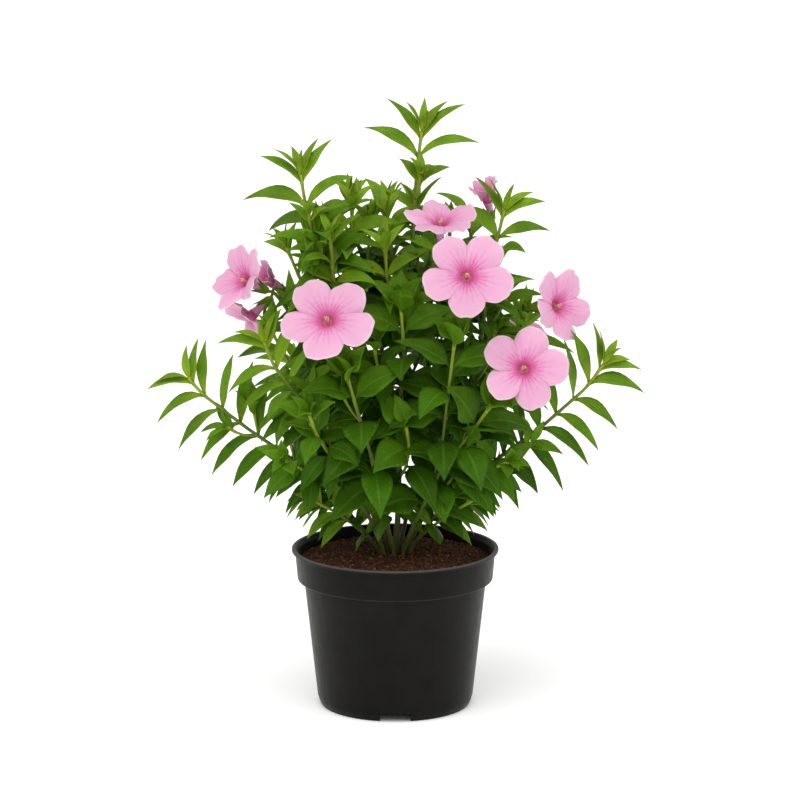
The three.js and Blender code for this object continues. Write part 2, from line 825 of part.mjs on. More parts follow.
const plant = new THREE.Group();
const pot = potSolid();
const soil = STEMS.reduce((whole, stem) => whole.subtract(holeFor(stem)), soilSolid());
place(pot, "pot");
place(soil, "soil");
plant.add(meshOf("pot", geometryOf(pot), COLOUR.pot));
plant.add(meshOf("soil", geometryOf(soil), COLOUR.soil));

// The blooms and all bare stems are placed first, and the leaves then keep clear of them
const bare = STEMS.map(barePieces);
STEMS.forEach((stem, i) => {
  bare[i].pieces.forEach((piece) => place(piece, stem.name));
  stem.blooms.forEach((bloom, k) => {
    const name = stem.blooms.length > 1 ? stem.name + "_" + (k + 1) : stem.name;
    const matrix = bloomMatrix(bloom);
    const limb = corolla(bloom).applyMatrix4(matrix);
    place(solidOf(limb), "corolla");
    plant.add(meshOf("corolla_" + name, limb, COLOUR.petal));
    plant.add(meshOf("stamens_" + name, stamens(bloom).applyMatrix4(matrix), COLOUR.stamen));
  });
});

STEMS.forEach((stem, i) => {
  let whole = bare[i].pieces.reduce((joined, piece) => joined.add(piece));
  stem.shoots.forEach((plan, k) => {
    for (const leaf of leavesOf(bare[i].shoots[k], plan, [i + 1, k + 1])) {
      const bend = clearBend(leaf, stem.name);
      if (!bend) continue;
      const solid = blade(leaf, bend);
      place(solid, stem.name);
      whole = whole.add(solid);
    }
  });
  plant.add(meshOf("leafy_stem_" + stem.name, geometryOf(whole), COLOUR.leaf));
});

export default plant;
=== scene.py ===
# A Philippine violet in flower, growing in a black nursery pot.
# Lengths are in millimetres until a mesh is made, which is in metres. +Z is up and front is -Y.

import random
from dataclasses import dataclass, field
from math import atan2, cos, exp, hypot, pi, radians, sin, sqrt
from types import SimpleNamespace as Measures

import bpy
import numpy as np
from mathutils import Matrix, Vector, noise
from numpy.linalg import norm


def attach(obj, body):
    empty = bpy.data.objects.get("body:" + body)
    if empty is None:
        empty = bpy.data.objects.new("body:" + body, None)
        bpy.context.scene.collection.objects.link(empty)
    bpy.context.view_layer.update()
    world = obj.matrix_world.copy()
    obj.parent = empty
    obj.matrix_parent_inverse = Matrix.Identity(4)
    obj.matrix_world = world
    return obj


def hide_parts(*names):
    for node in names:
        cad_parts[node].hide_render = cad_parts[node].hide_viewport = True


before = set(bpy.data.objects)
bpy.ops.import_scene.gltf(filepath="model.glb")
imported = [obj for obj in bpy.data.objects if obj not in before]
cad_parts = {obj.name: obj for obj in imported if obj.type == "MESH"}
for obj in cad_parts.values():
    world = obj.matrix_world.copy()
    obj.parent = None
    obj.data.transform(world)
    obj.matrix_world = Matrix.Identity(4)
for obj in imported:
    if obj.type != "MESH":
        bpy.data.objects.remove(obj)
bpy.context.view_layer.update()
MM = 0.001

# The photograph's view: where the camera stands, how far it looks down and its lens
CAMERA = Measures(x=3.5, y=-2700, z=774, down=11.5, lens=172.3, sensor=36)

# Which way leaves turn their faces
FRONT = (0, -1, 0.7)
BACK = (0, 1, 0.7)

# Leaves at least this wide have the outline and the colour of the bush's middle
BROAD_FROM = 15

# How far grown leaves lean away from their shoot, in degrees; on the two low arms it is less
SPREAD = 52


# The plant's plan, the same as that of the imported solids

@dataclass
class Shoot:
    to: list
    bare: float
    leaf: tuple
    phase: float = 0
    turn: float = 90
    open: float = 15
    spread: float = SPREAD
    gap: float = 22
    face: tuple = FRONT
    start: float = 0

    @property
    def broad(self):
        return self.leaf[1] >= BROAD_FROM

    @property
    def kind(self):
        return "arm" if self.spread < SPREAD else "broad" if self.broad else "narrow"


@dataclass
class Bloom:
    shoot: int
    start: float
    at: tuple
    aim: tuple
    size: float
    lift: float
    roll: float


@dataclass
class Stem:
    name: str
    radius: float
    foot: tuple
    shoots: list
    blooms: list = field(default_factory=list)


# Each shoot has its points, its bare length, its leaves' length and width, then phase and turn.
# Each bloom has its shoot, its place along it, where it is, its aim, size, lift and roll.
STEMS = [
    Stem("top_centre", 2.6, (1.6, 3.5), [
        Shoot([(5, 8, 223), (12, 10, 330), (15, 10, 384), (19, 8, 418)], 281, (51, 13), 20, -10, open=13),
        Shoot([(8, 30, 285), (-3, 42, 328), (-6, 46, 361)], 45, (41, 12), 40, gap=15, start=0.44),
        Shoot([(24, 28, 266), (36, 34, 310), (40, 34, 345)], 30, (41, 12), 10, gap=15, start=0.4),
        Shoot([(17, 4, 379), (18, 0, 387)], 3, (33, 12), 90, start=0.845),
    ], [Bloom(0, 0.62, (32, -30, 357), (8, 70), 28, 20, 20)]),
    Stem("upper_left", 2.4, (-4, 2.3), [
        Shoot([(-32, 2, 225), (-49, -6, 320), (-62, -6, 360), (-67, -6, 389)],
              170, (50, 13), 25, -25, open=17, gap=13),
        Shoot([(-38, -18, 290), (-44, -25, 322), (-46, -26, 348)], 20, (40, 12), 60, gap=14, start=0.54),
        Shoot([(-34, 26, 285), (-31, 38, 332), (-32, 41, 365)], 40, (41, 12), 20, gap=14, start=0.44),
        Shoot([(-59, -14, 350), (-61, -18, 362)], 6, (26, 9), 70, gap=8, start=0.74),
        Shoot([(-24, 12, 272), (-20, 18, 318), (-18, 20, 350)], 52, (40, 12), gap=16, start=0.4),
    ]),
    Stem("upper_right", 2.4, (4.7, -0.8), [
        Shoot([(19, -3, 135), (40, -8, 195), (60, -6, 262), (68, 0, 318), (78, 6, 362)],
              135, (48, 13), 20, -25, gap=14),
        Shoot([(66, 24, 268), (70, 34, 294), (72, 37, 315)], 24, (42, 12), 40, gap=15, start=0.56),
    ], [Bloom(0, 0.84, (66, 24, 367), (-35, 66), 21, 62, 10)]),
    Stem("right_lower", 2.3, (10, -3.1), [
        Shoot([(30, -8, 143), (56, -12, 172), (88, -14, 194), (132, -16, 232), (149, -16, 254)],
              42, (46, 12.5), 20, -6, open=12, spread=40, gap=16),
        Shoot([(64, -37, 180), (80, -51, 190)], 22, (34, 15), 30, 70, gap=15, start=0.36),
    ]),
    Stem("left_lower", 2.3, (-10, -2.3), [
        Shoot([(-35, -8, 145), (-59, -12, 173), (-90, -14, 195), (-133, -16, 228),
               (-148, -16, 244)], 42, (45, 12.5), 20, -6, open=12, spread=40, gap=16),
        Shoot([(-63, -37, 180), (-78, -53, 192)], 22, (34, 15), 30, 70, gap=15, start=0.36),
    ]),
    Stem("left_mid", 2.2, (-7.8, -7.8), [
        Shoot([(-17, -18, 139), (-39, -28, 185), (-61, -32, 224), (-86, -33, 256), (-93, -32, 273)],
              80, (43, 11.5), 20, -8, gap=14),
        Shoot([(-52, -56, 204), (-60, -70, 228)], 8, (38, 16), 60, gap=16, start=0.45),
    ]),
    Stem("front_left", 2.2, (-0.8, -10), [
        Shoot([(-5, -20, 134), (-14, -38, 181), (-25, -54, 222), (-34, -64, 256)],
              58, (49, 26), 10, gap=19),
    ], [Bloom(0, 0.97, (-47, -84, 298), (-10, 42), 35, 10, -90)]),
    Stem("front_right", 2.2, (5.5, -8.6), [
        Shoot([(12, -20, 134), (30, -38, 177), (53, -51, 210), (68, -57, 233)], 50, (49, 25), 25, gap=19),
        Shoot([(34, -48, 208), (38, -58, 246), (42, -60, 280)], 12, (47, 25), gap=19, start=0.5),
    ], [
        Bloom(0, 0.96, (90, -78, 263), (-2, 20), 32, 10, -70),
        Bloom(1, 0.94, (50, -76, 328), (2, 30), 33, 10, -92),
    ]),
    Stem("centre_front", 2.2, (-0.8, -3.9), [
        Shoot([(2, -10, 153), (2, -24, 208), (6, -34, 262), (4, -36, 300)], 72, (49, 25), gap=19),
        Shoot([(10, -38, 190), (8, -52, 216)], 8, (48, 25), 40, gap=19, start=0.34),
    ]),
    Stem("right_back", 2.3, (9.4, 5.5), [
        Shoot([(22, 18, 148), (56, 32, 198), (83, 22, 250), (92, 14, 282)], 76, (44, 10.5), gap=17),
        Shoot([(72, 60, 222), (92, 78, 262)], 15, (40, 12), 30, face=BACK, start=0.5),
    ], [Bloom(0, 0.94, (115, -10, 295), (46, 16), 30, 22, -24)]),
    Stem("left_back", 2.3, (-9.4, 5.5), [
        Shoot([(-20, 18, 148), (-46, 28, 205), (-66, 20, 262), (-74, 12, 288)], 85, (44, 10.5), gap=17),
        Shoot([(-68, 52, 226), (-92, 68, 264)], 15, (40, 12), 30, face=BACK, start=0.5),
    ], [
        Bloom(0, 0.95, (-106, -10, 313), (-56, 26), 29, 28, 54),
        Bloom(0, 0.84, (-103, 1, 286), (-62, -38), 27, 26, 20),
        Bloom(0, 0.99, (-90, 18, 308), (-50, 34), 23, 64, 15),
    ]),
    Stem("back_left", 2.3, (-4, 10), [
        Shoot([(-14, 32, 159), (-30, 68, 206), (-42, 88, 246), (-46, 94, 276)], 90, (43, 13), face=BACK),
        Shoot([(-44, 88, 190), (-66, 118, 208), (-76, 132, 228)],
              22, (40, 12), turn=30, face=BACK, start=0.42),
    ], [Bloom(0, 0.95, (-50, 122, 268), (192, 26), 30, 14, -90)]),
    Stem("back_right", 2.3, (3.1, 10), [
        Shoot([(14, 34, 159), (24, 68, 212), (26, 88, 264), (26, 92, 306)], 100, (43, 13), face=BACK),
        Shoot([(44, 88, 190), (72, 112, 196), (86, 126, 212)],
              22, (40, 12), turn=30, face=BACK, start=0.42),
    ], [Bloom(1, 0.93, (94, 142, 236), (160, 30), 29, 14, -80)]),
]

POT = Measures(
    height=116, rim=75, lip=2.4, lipWide=2.7, bandTop=72.6, bandFoot=70.8,
    ledge=92, step=1.2, bodyTop=66, bodyFoot=56.4, bevel=5, foot=54,
    ring=2.5, disc=22, wall=2.2, floor=6,
)
NOTCH = Measures(count=4, width=22, height=6.6, depth=8)
DRAIN = Measures(count=8, radius=4, circle=38)
SOIL = Measures(
    edge=107.5, mound=4, lump=0.55,
    crumbs=1500, crumbSize=(0.4, 1.3), fibres=170, fibreLength=(3, 9),
)
HOLE_DEPTH = 12
STEM = Measures(tip=1.35, fork=0.62, step=34, upright=2, ageing=0.0045)
LEAF = Measures(
    root=0.3, firstPair=1.5, youngGap=4.6,
    grownAt=9, spreadAt=45, oldFrom=90, oldBy=180,
)
FLOWER = Measures(full=33, small=0.6, petals=5, throat=5.6)

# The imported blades' stations, the turns and lifts that clear a leaf of its neighbours, and how
# near a blade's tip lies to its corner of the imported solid
STATIONS = (0, 0.36, 0.7, 1)
BENDS = (
    (0, 0), (12, 0), (-12, 0), (0, 12), (0, -12), (24, 4), (-24, 4),
    (18, -14), (-18, -14), (38, 0), (-38, 0), (0, 24),
)
SAME_POINT = 0.05


def mix(a, b, share):
    return a + (b - a) * share


def clamp(value, low=0, high=1):
    return min(high, max(low, value))


def unit(v):
    v = np.asarray(v, float)
    return v / norm(v)


def squared(direction, axis):
    """The part of a direction that is square to an axis."""
    return unit(direction - np.dot(direction, axis) * axis)


def swing(first, second, angle):
    """The direction at an angle from the first of two directions towards the second."""
    return first * cos(angle) + second * sin(angle)


def spin(v, axis, angle):
    """v turned about an axis that it may lean on."""
    along_axis = axis * np.dot(v, axis)
    flat = v - along_axis
    return along_axis + flat * cos(angle) + np.cross(axis, flat) * sin(angle)


def draw(*keys):
    """A fixed draw from 0 to 1 for each set of keys."""
    total = 0.5
    for place, key in enumerate(keys):
        total += key * (12.9898 + 65.2331 * place)
    return sin(total) * 43758.5453 % 1


def ring(count, radius, z=0, first=0):
    """Even points round the vertical axis."""
    turns = [2 * pi * (k + first) / count for k in range(count)]
    return [(radius * cos(turn), radius * sin(turn), z) for turn in turns]


def bands(rings, sides, first=0):
    """The faces between rings of points, the first of which is point number first."""
    for i in range(rings - 1):
        for k in range(sides):
            a = first + i * sides + k
            b = first + i * sides + (k + 1) % sides
            yield a, b, b + sides, a + sides


def capped(rings, sides):
    """The faces of rings of points with a closed end on each side."""
    ends = [tuple(reversed(range(sides))), tuple(range((rings - 1) * sides, rings * sides))]
    return ends + list(bands(rings, sides))


def shown(name, data):
    """A new object in the scene."""
    made = bpy.data.objects.new(name, data)
    bpy.context.scene.collection.objects.link(made)
    return made


# Meshes: pieces are gathered as grids of points and made into one object

class Gather:
    """Collects grids of points, with a value of each attribute at each point."""

    def __init__(self, *attributes):
        self.points = []
        self.faces = []
        self.slots = []
        self.values = {name: [] for name in attributes}

    def add(self, points, faces, slot=0, **values):
        first = len(self.points)
        self.points += [tuple(p) for p in points]
        self.faces += [tuple(first + i for i in face) for face in faces]
        self.slots += [slot] * len(faces)
        for name, kept in self.values.items():
            given = values.get(name, 0)
            kept += list(np.ravel(given)) if np.ndim(given) else [given] * len(points)

    def sheet(self, grid, thickness, slot=0, **values):
        """A thin shell under a grid of points, rows by columns."""
        rows, columns = grid.shape[:2]
        under = grid - grid_normals(grid) * thickness
        size = rows * columns
        index = np.arange(size).reshape(rows, columns)
        corners = (index[:-1, :-1], index[:-1, 1:], index[1:, 1:], index[1:, :-1])
        top = np.stack(corners, axis=-1).reshape(-1, 4)
        edge = np.array([*index[0], *index[1:, -1], *index[-1, -2::-1], *index[-2:0:-1, 0]])
        after = np.roll(edge, -1)
        rim = np.stack([after, edge, size + edge, size + after], axis=1)
        faces = np.concatenate([top, size + top[:, ::-1], rim]).tolist()
        points = np.concatenate([grid.reshape(-1, 3), under.reshape(-1, 3)])
        values = {name: np.tile(np.ravel(v), 2) if np.ndim(v) else v for name, v in values.items()}
        self.add(points, faces, slot, **values)

    def tube(self, line, radii, sides, slot=0, **values):
        """A closed round tube along a line of points."""
        line = np.asarray(line, float)
        points = []
        first = across(unit(line[1] - line[0]))[0]
        for i, centre in enumerate(line):
            axis = unit(line[min(i + 1, len(line) - 1)] - line[max(i - 1, 0)])
            first = squared(first, axis)
            second = np.cross(axis, first)
            for k in range(sides):
                points.append(centre + radii[i] * swing(first, second, 2 * pi * k / sides))
        for name, v in values.items():
            if np.ndim(v):
                values[name] = np.repeat(np.ravel(v), sides)
        self.add(points, capped(len(line), sides), slot, **values)

    def object(self, name, materials, smooth=True):
        mesh = bpy.data.meshes.new(name)
        mesh.from_pydata((np.asarray(self.points, float) * MM).tolist(), [], self.faces)
        mesh.polygons.foreach_set("material_index", self.slots)
        mesh.polygons.foreach_set("use_smooth", [smooth] * len(self.faces))
        for attribute, kept in self.values.items():
            layer = mesh.attributes.new(attribute, "FLOAT", "POINT")
            layer.data.foreach_set("value", np.asarray(kept, np.float32))
        for material in materials:
            mesh.materials.append(material)
        mesh.update()
        return shown(name, mesh)


def sides_and_rows(columns, rows):
    """Two grids: from -1 to 1 across the columns, and from 0 to 1 up the rows."""
    return np.meshgrid(np.linspace(-1, 1, columns + 1), np.linspace(0, 1, rows + 1))


def grid_normals(grid):
    """Unit normals of a grid, on the side from which its rows run up and its columns right."""
    normals = np.cross(np.gradient(grid, axis=1), np.gradient(grid, axis=0))
    return normals / np.maximum(norm(normals, axis=2, keepdims=True), 1e-9)


# Materials

class Shader:
    """A material with a Principled surface, and short calls to build the nodes that feed it."""

    def __init__(self, name, **fixed):
        self.material = bpy.data.materials.new(name)
        self.material.use_nodes = True
        self.tree = self.material.node_tree
        self.surface = self.tree.nodes["Principled BSDF"].inputs
        for socket, value in fixed.items():
            self.surface[socket.replace("_", " ")].default_value = value

    def feed(self, socket, source):
        if isinstance(source, bpy.types.NodeSocket):
            self.tree.links.new(source, socket)
        else:
            socket.default_value = source

    def node(self, kind, inputs, output, **settings):
        """An output of a new node whose inputs take other nodes' outputs or plain values."""
        made = self.tree.nodes.new("ShaderNode" + kind)
        for name, value in settings.items():
            setattr(made, name, value)
        for socket, source in inputs.items():
            self.feed(made.inputs[socket], source)
        return made.outputs[output]

    def attribute(self, name):
        return self.node("Attribute", {}, "Fac", attribute_name=name)

    def place(self):
        return self.node("TexCoord", {}, "Object")

    def math(self, operation, a, b):
        return self.node("Math", {0: a, 1: b}, 0, operation=operation)

    def times(self, a, b):
        return self.math("MULTIPLY", a, b)

    def noise(self, size, detail=3, rough=0.5, stretch=(1, 1, 1)):
        """Noise whose lumps are about size millimetres across."""
        where = self.node("Mapping", {"Vector": self.place(), "Scale": stretch}, 0)
        look = {"Scale": 1 / (size * MM), "Detail": detail, "Roughness": rough}
        return self.node("TexNoise", {"Vector": where, **look}, "Fac")

    def ramp(self, share, *stops):
        """A colour or grey that runs through stops of (place, (r, g, b)) or (place, grey)."""
        output = self.node("ValToRGB", {0: share}, "Color")
        elements = output.node.color_ramp.elements
        while len(elements) < len(stops):
            elements.new(0.5)
        for element, (place, colour) in zip(elements, stops):
            element.position = place
            element.color = (*colour, 1) if np.ndim(colour) else (colour, colour, colour, 1)
        return output

    def blend(self, share, a, b, mode="MIX"):
        a, b = ((*v, 1) if isinstance(v, tuple) else v for v in (a, b))
        return self.node("Mix", {0: share, 6: a, 7: b}, 2, data_type="RGBA", blend_type=mode)

    def tint(self, colour, shade):
        return self.blend(1, colour, shade, "MULTIPLY")

    def bump(self, height, depth, strength=1, **under):
        """A relief whose full height is depth millimetres, on top of another Normal if given."""
        inputs = {"Strength": strength, "Distance": depth * MM, "Height": height}
        return self.node("Bump", {**inputs, **under}, "Normal")

    def finish(self, colour, rough, normal):
        """The finished material; without a map of roughness the shader's own stays."""
        for name, source in (("Base Color", colour), ("Roughness", rough), ("Normal", normal)):
            if source:
                self.feed(self.surface[name], source)
        return self.material


def leaf_material():
    """Green blades with a pale midrib, arched side veins, and a tint for age."""
    s = Shader("leaf", Subsurface_Weight=0.25, Subsurface_Scale=0.0015,
               Subsurface_Radius=(0.5, 1, 0.2), Specular_IOR_Level=0.1)
    side = s.math("ABSOLUTE", s.attribute("side"), 0)
    out = s.attribute("out")
    age = s.attribute("age")
    rib = s.ramp(side, (0, 1), (0.05, 0.8), (0.13, 0))
    stripe = s.math("PINGPONG", s.math("SUBTRACT", s.times(out, 11.0), s.times(side, 2.6)), 0.5)
    vein = s.ramp(stripe, (0, 1), (0.09, 0.35), (0.2, 0))
    grown = s.ramp(
        age, (0, (0.2, 0.31, 0.017)), (0.08, (0.138, 0.247, 0.01)), (0.3, (0.12, 0.235, 0.007)),
        (0.6, (0.088, 0.195, 0.003)), (1, (0.04, 0.108, 0.001)),
    )
    patchy = s.tint(grown, s.ramp(s.noise(9, 4), (0.3, 0.82), (0.7, 1.14)))
    plain = s.tint(patchy, s.ramp(s.attribute("tone"), (0, 0.78), (1, 1.22)))
    young = s.ramp(age, (0, 0.75), (0.35, 0.35), (0.8, 0))
    heart = s.times(young, s.ramp(out, (0, 1), (0.4, 0)))
    base = s.blend(heart, plain, (0.36, 0.45, 0.015))
    veined = s.blend(s.times(vein, 0.1), base, (0.13, 0.34, 0.04))
    ribbed = s.blend(s.times(rib, 0.22), veined, (0.16, 0.38, 0.05))
    relief = s.math("ADD", s.times(rib, -1), s.times(vein, -0.5))
    fine = s.bump(s.noise(0.8, 2), 0.05, 0.4)
    rough = s.ramp(s.noise(5, 3), (0.3, 0.46), (0.7, 0.6))
    return s.finish(ribbed, rough, s.bump(relief, 0.35, 0.6, Normal=fine))


def stem_material():
    """Green shoots that turn olive and brown towards the soil, faintly ridged along."""
    s = Shader("stem", Subsurface_Weight=0.08, Subsurface_Scale=0.001, Specular_IOR_Level=0.4)
    wood = s.ramp(
        s.attribute("age"), (0, (0.27, 0.35, 0.02)), (0.15, (0.14, 0.2, 0.01)),
        (0.4, (0.075, 0.115, 0.007)), (1, (0.09, 0.084, 0.015)),
    )
    streaks = s.noise(2.5, 4, 0.6, stretch=(1, 1, 0.12))
    colour = s.tint(wood, s.ramp(streaks, (0.3, 0.72), (0.7, 1.25)))
    return s.finish(colour, s.ramp(streaks, (0.3, 0.45), (0.7, 0.62)), s.bump(streaks, 0.4, 0.5))


def petal_material():
    """Soft pink with a pale edge, and magenta streaks that run out of the throat."""
    s = Shader("petal", Subsurface_Weight=0.3, Subsurface_Scale=0.002,
               Subsurface_Radius=(1, 0.5, 0.7), Specular_IOR_Level=0.25)
    out = s.attribute("out")
    limb = s.ramp(
        out, (0, (0.62, 0.2, 0.27)), (0.06, (0.56, 0.09, 0.24)), (0.15, (0.64, 0.15, 0.35)),
        (0.27, (0.7, 0.26, 0.45)), (0.44, (0.735, 0.345, 0.53)), (0.93, (0.755, 0.395, 0.56)),
        (1, (0.86, 0.6, 0.67)),
    )
    spoke = s.math("PINGPONG", s.times(s.attribute("side"), 3.4), 0.5)
    streak = s.ramp(spoke, (0, 1), (0.12, 0.7), (0.34, 0))
    reach = s.ramp(out, (0, 0.5), (0.1, 1), (0.26, 0.85), (0.42, 0.4), (0.75, 0))
    wander = s.ramp(s.noise(3, 3), (0.36, 0.1), (0.6, 1))
    share = s.times(s.times(s.times(streak, reach), wander), 0.85)
    veined = s.blend(share, limb, (0.56, 0.05, 0.28))
    colour = s.tint(veined, s.ramp(s.attribute("tone"), (0, 0.93), (1, 1.05)))
    ripple = s.bump(s.math("ADD", s.times(streak, -0.6), s.noise(1.2, 3)), 0.3, 0.5)
    return s.finish(colour, s.ramp(s.noise(2, 2), (0.3, 0.5), (0.7, 0.62)), ripple)


def stamen_material():
    s = Shader("stamen", Roughness=0.55, Subsurface_Weight=0.15, Subsurface_Scale=0.001)
    colour = s.ramp(
        s.attribute("out"), (0, (0.7, 0.3, 0.36)), (0.6, (0.8, 0.46, 0.42)),
        (0.85, (0.72, 0.5, 0.3)), (1, (0.66, 0.55, 0.24)),
    )
    return s.finish(colour, None, s.bump(s.noise(0.5, 2), 0.15, 0.6))


def pot_material():
    """Black moulded plastic: a soft sheen, faint flow lines, dust, and painted highlights that make the
    lip's top and the band's lower edge paler.
    """
    s = Shader("pot", Specular_IOR_Level=0.1, Sheen_Weight=0.1, Sheen_Roughness=0.3,
               Sheen_Tint=(1, 0.95, 0.9, 1))
    clean, dusty = (0.003, 0.0028, 0.0024), (0.0065, 0.006, 0.005)
    dust = s.ramp(s.noise(22, 5, 0.6), (0.35, clean), (0.75, dusty))
    # painted highlight: paler plastic on the lip's top and along the band's lower edge
    colour = s.blend(s.attribute("painted_highlight"), dust, (0.075, 0.07, 0.064))
    rough = s.ramp(s.noise(3.5, 4, 0.7, stretch=(1, 1, 0.35)), (0.3, 0.36), (0.7, 0.52))
    grain = s.bump(s.noise(0.7, 2), 0.05, 0.35)
    return s.finish(colour, rough, s.bump(s.noise(14, 2), 0.25, 0.3, Normal=grain))


def soil_material():
    """Moist coco peat: red-brown crumbs with dark gaps and paler fibres."""
    s = Shader("soil", Specular_IOR_Level=0.2)
    crumbs = s.ramp(
        s.noise(1.6, 5, 0.7), (0.3, (0.018, 0.006, 0.003)), (0.48, (0.07, 0.024, 0.011)),
        (0.6, (0.12, 0.045, 0.02)), (0.75, (0.2, 0.09, 0.045)),
    )
    colour = s.tint(crumbs, s.ramp(s.noise(14, 3), (0.3, 0.7), (0.7, 1.2)))
    cells = s.node("TexVoronoi", {"Vector": s.place(), "Scale": 1 / (1.7 * MM)}, "Distance")
    height = s.bump(s.math("ADD", cells, s.noise(0.7, 4)), 1.2, 0.9)
    return s.finish(colour, s.ramp(s.noise(3, 2), (0.3, 0.8), (0.7, 0.98)), height)


def crumb_material():
    s = Shader("crumb", Roughness=0.9, Specular_IOR_Level=0.2)
    colour = s.ramp(
        s.attribute("tone"), (0, (0.03, 0.01, 0.005)), (0.55, (0.09, 0.033, 0.014)),
        (1, (0.22, 0.105, 0.05)),
    )
    return s.finish(colour, None, s.bump(s.noise(0.8, 3), 0.4, 0.8))


# The shoots' lines, and the leaves that stand on them

def catmull_rom(points, steps):
    """Points at even steps of the curve's own parameter, ends included."""
    p = [np.asarray(v, float) for v in points]
    p = [2 * p[0] - p[1], *p, 2 * p[-1] - p[-2]]
    line = []
    for place in (len(points) - 1) * np.arange(steps + 1) / steps:
        k = min(int(place), len(points) - 2)
        t = place - k
        a, b, c, d = p[k:k + 4]
        bend = 2 * a - 5 * b + 4 * c - d + t * (3 * (b - c) + d - a)
        line.append(b + 0.5 * t * (c - a + t * bend))
    return line


class Line:
    """A shoot's line of straight steps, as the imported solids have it."""

    def __init__(self, points, buried=()):
        straight = sum(norm(np.subtract(b, a)) for a, b in zip(points, points[1:]))
        steps = max(3, int(straight / STEM.step + 0.5))
        self.points = [np.asarray(b, float) for b in buried] + catmull_rom(points, steps)
        pairs = zip(self.points, self.points[1:])
        self.reach = np.cumsum([0] + [norm(b - a) for a, b in pairs])
        self.length = self.reach[-1]

    def along(self, distance):
        k = min(int(np.searchsorted(self.reach, distance, "right")), len(self.points) - 1)
        share = (distance - self.reach[k - 1]) / (self.reach[k] - self.reach[k - 1])
        step = self.points[k] - self.points[k - 1]
        return self.points[k - 1] + step * share, unit(step)


def across(axis):
    """Two directions square to an axis: one in the picture plane, one that runs front to back."""
    first = unit(np.cross(axis, (0, -1, 0.02)))
    return first, unit(np.cross(axis, first))


def soil_height(x, y):
    share = hypot(x, y) / POT.bodyTop
    lumps = sin(x * 0.31 + 1.3) * cos(y * 0.27) + sin((x - y) * 0.19)
    return SOIL.edge + SOIL.mound * (1 - share * share) + SOIL.lump * lumps


def lines_of(stem):
    x, y = stem.foot
    top = soil_height(x, y)
    lines = []
    for plan in stem.shoots:
        if plan.start:
            start = lines[0].along(plan.start * lines[0].length)[0]
            lines.append(Line([start, *plan.to]))
        else:
            foot = (x, y, top + STEM.upright)
            lines.append(Line([foot, *plan.to], [(x, y, top - HOLE_DEPTH)]))
    return lines


@dataclass
class Leaf:
    point: np.ndarray
    axis: np.ndarray
    first: np.ndarray
    second: np.ndarray
    face: np.ndarray
    turn: float
    rise: float
    sag: float
    length: float
    width: float
    twist: float
    age: float
    broad: bool
    tone: float

    def out(self, more=0):
        """The way the leaf stands out from its shoot, turned so many degrees more."""
        return swing(self.first, self.second, radians(self.turn + more))


def pairs_of(line, plan):
    """How far down from the tip each pair of leaves stands, with its number and its gap."""
    down = LEAF.firstPair
    young = [LEAF.youngGap, plan.open]
    pair = 0
    while down < line.length - plan.bare:
        gap = young[pair] if pair < len(young) else plan.gap
        yield pair, down, gap
        down += gap
        pair += 1


def pair_at(line, plan, keys, pair, down, turn_by=0, older=0):
    """The two leaves of a pair, older by so many millimetres of growth than their place says."""
    point, axis = line.along(line.length - down)
    first, second = across(axis)
    length, width = plan.leaf
    grown = clamp(down / LEAF.grownAt)
    age = clamp(down / LEAF.spreadAt)
    old = clamp((down - LEAF.oldFrom) / (LEAF.oldBy - LEAF.oldFrom))
    for side in range(2):

        def vary(n, low, high):
            return mix(low, high, draw(*keys, pair, side, n))

        turn = plan.phase + pair * plan.turn + side * 180 + vary(1, -10, 10)
        yield Leaf(
            point, axis, first, second, unit(plan.face), turn + turn_by,
            rise=16 + plan.spread * age ** 0.7 + vary(2, -7, 7),
            sag=mix(1.2, 2.3, age) * vary(3, 0.8, 1.2),
            length=length * mix(0.5, 1, grown) * mix(1, 0.6, old) * vary(4, 0.88, 1.08),
            width=width * mix(0.5, 1, grown) * vary(5, 0.9, 1.1),
            twist=vary(6, -12, 12),
            age=down + older + (55 if plan.broad else 0),
            broad=plan.broad,
            tone=vary(7, 0, 1),
        )


class Blade:
    """A leaf bent one of the ways that clear its neighbours."""

    def __init__(self, leaf, bend):
        more_turn, more_lift = bend
        self.leaf = leaf
        self.out = leaf.out(more_turn)
        rise = radians(leaf.rise - more_lift)
        self.start = unit(swing(leaf.axis, self.out, rise) + (0, 0, 0.35))
        self.sag = leaf.sag * hypot(self.start[0], self.start[1])
        self.lateral = unit(np.cross(leaf.axis, self.out))

    def heading(self, s):
        return unit(self.start + 0.85 * s * self.out - (0, 0, self.sag * s))

    def line(self, stations):
        points = [self.leaf.point + LEAF.root * self.out]
        for a, b in zip(stations, stations[1:]):
            points.append(points[-1] + self.leaf.length * (b - a) * self.heading((a + b) / 2))
        return points

    def frame(self, s):
        """The blade's directions across and up at s, turned part of the way to the light."""
        heading = self.heading(s)
        wide = squared(self.lateral, heading)
        up = np.cross(heading, wide)
        light = squared(self.leaf.face, heading)
        away = atan2(np.dot(np.cross(up, light), heading), np.dot(up, light))
        twist = 0.6 * clamp(away, -1.1, 1.1) + radians(self.leaf.twist)
        return spin(wide, heading, twist), spin(up, heading, twist)


# How a blade is drawn: rows along it, columns across, the fold along its midrib, and the growth
# at which it has unfolded and has the colour of old leaves
BLADE = Measures(rows=10, columns=6, thickness=0.32, fold=0.34, wave=0.05, flatAt=30, oldAt=90)


def span(s, broad):
    """The blade's half width at s, as a share of its widest."""
    start = 0.13 if broad else 0.02
    t = clamp((s - start) / (1 - start))
    full = sin(pi * t ** (0.66 if broad else 0.85)) * (1 - 0.45 * t ** 3)
    petiole = 0.1 if broad else 0.16
    return max(full, petiole * (1 - s))


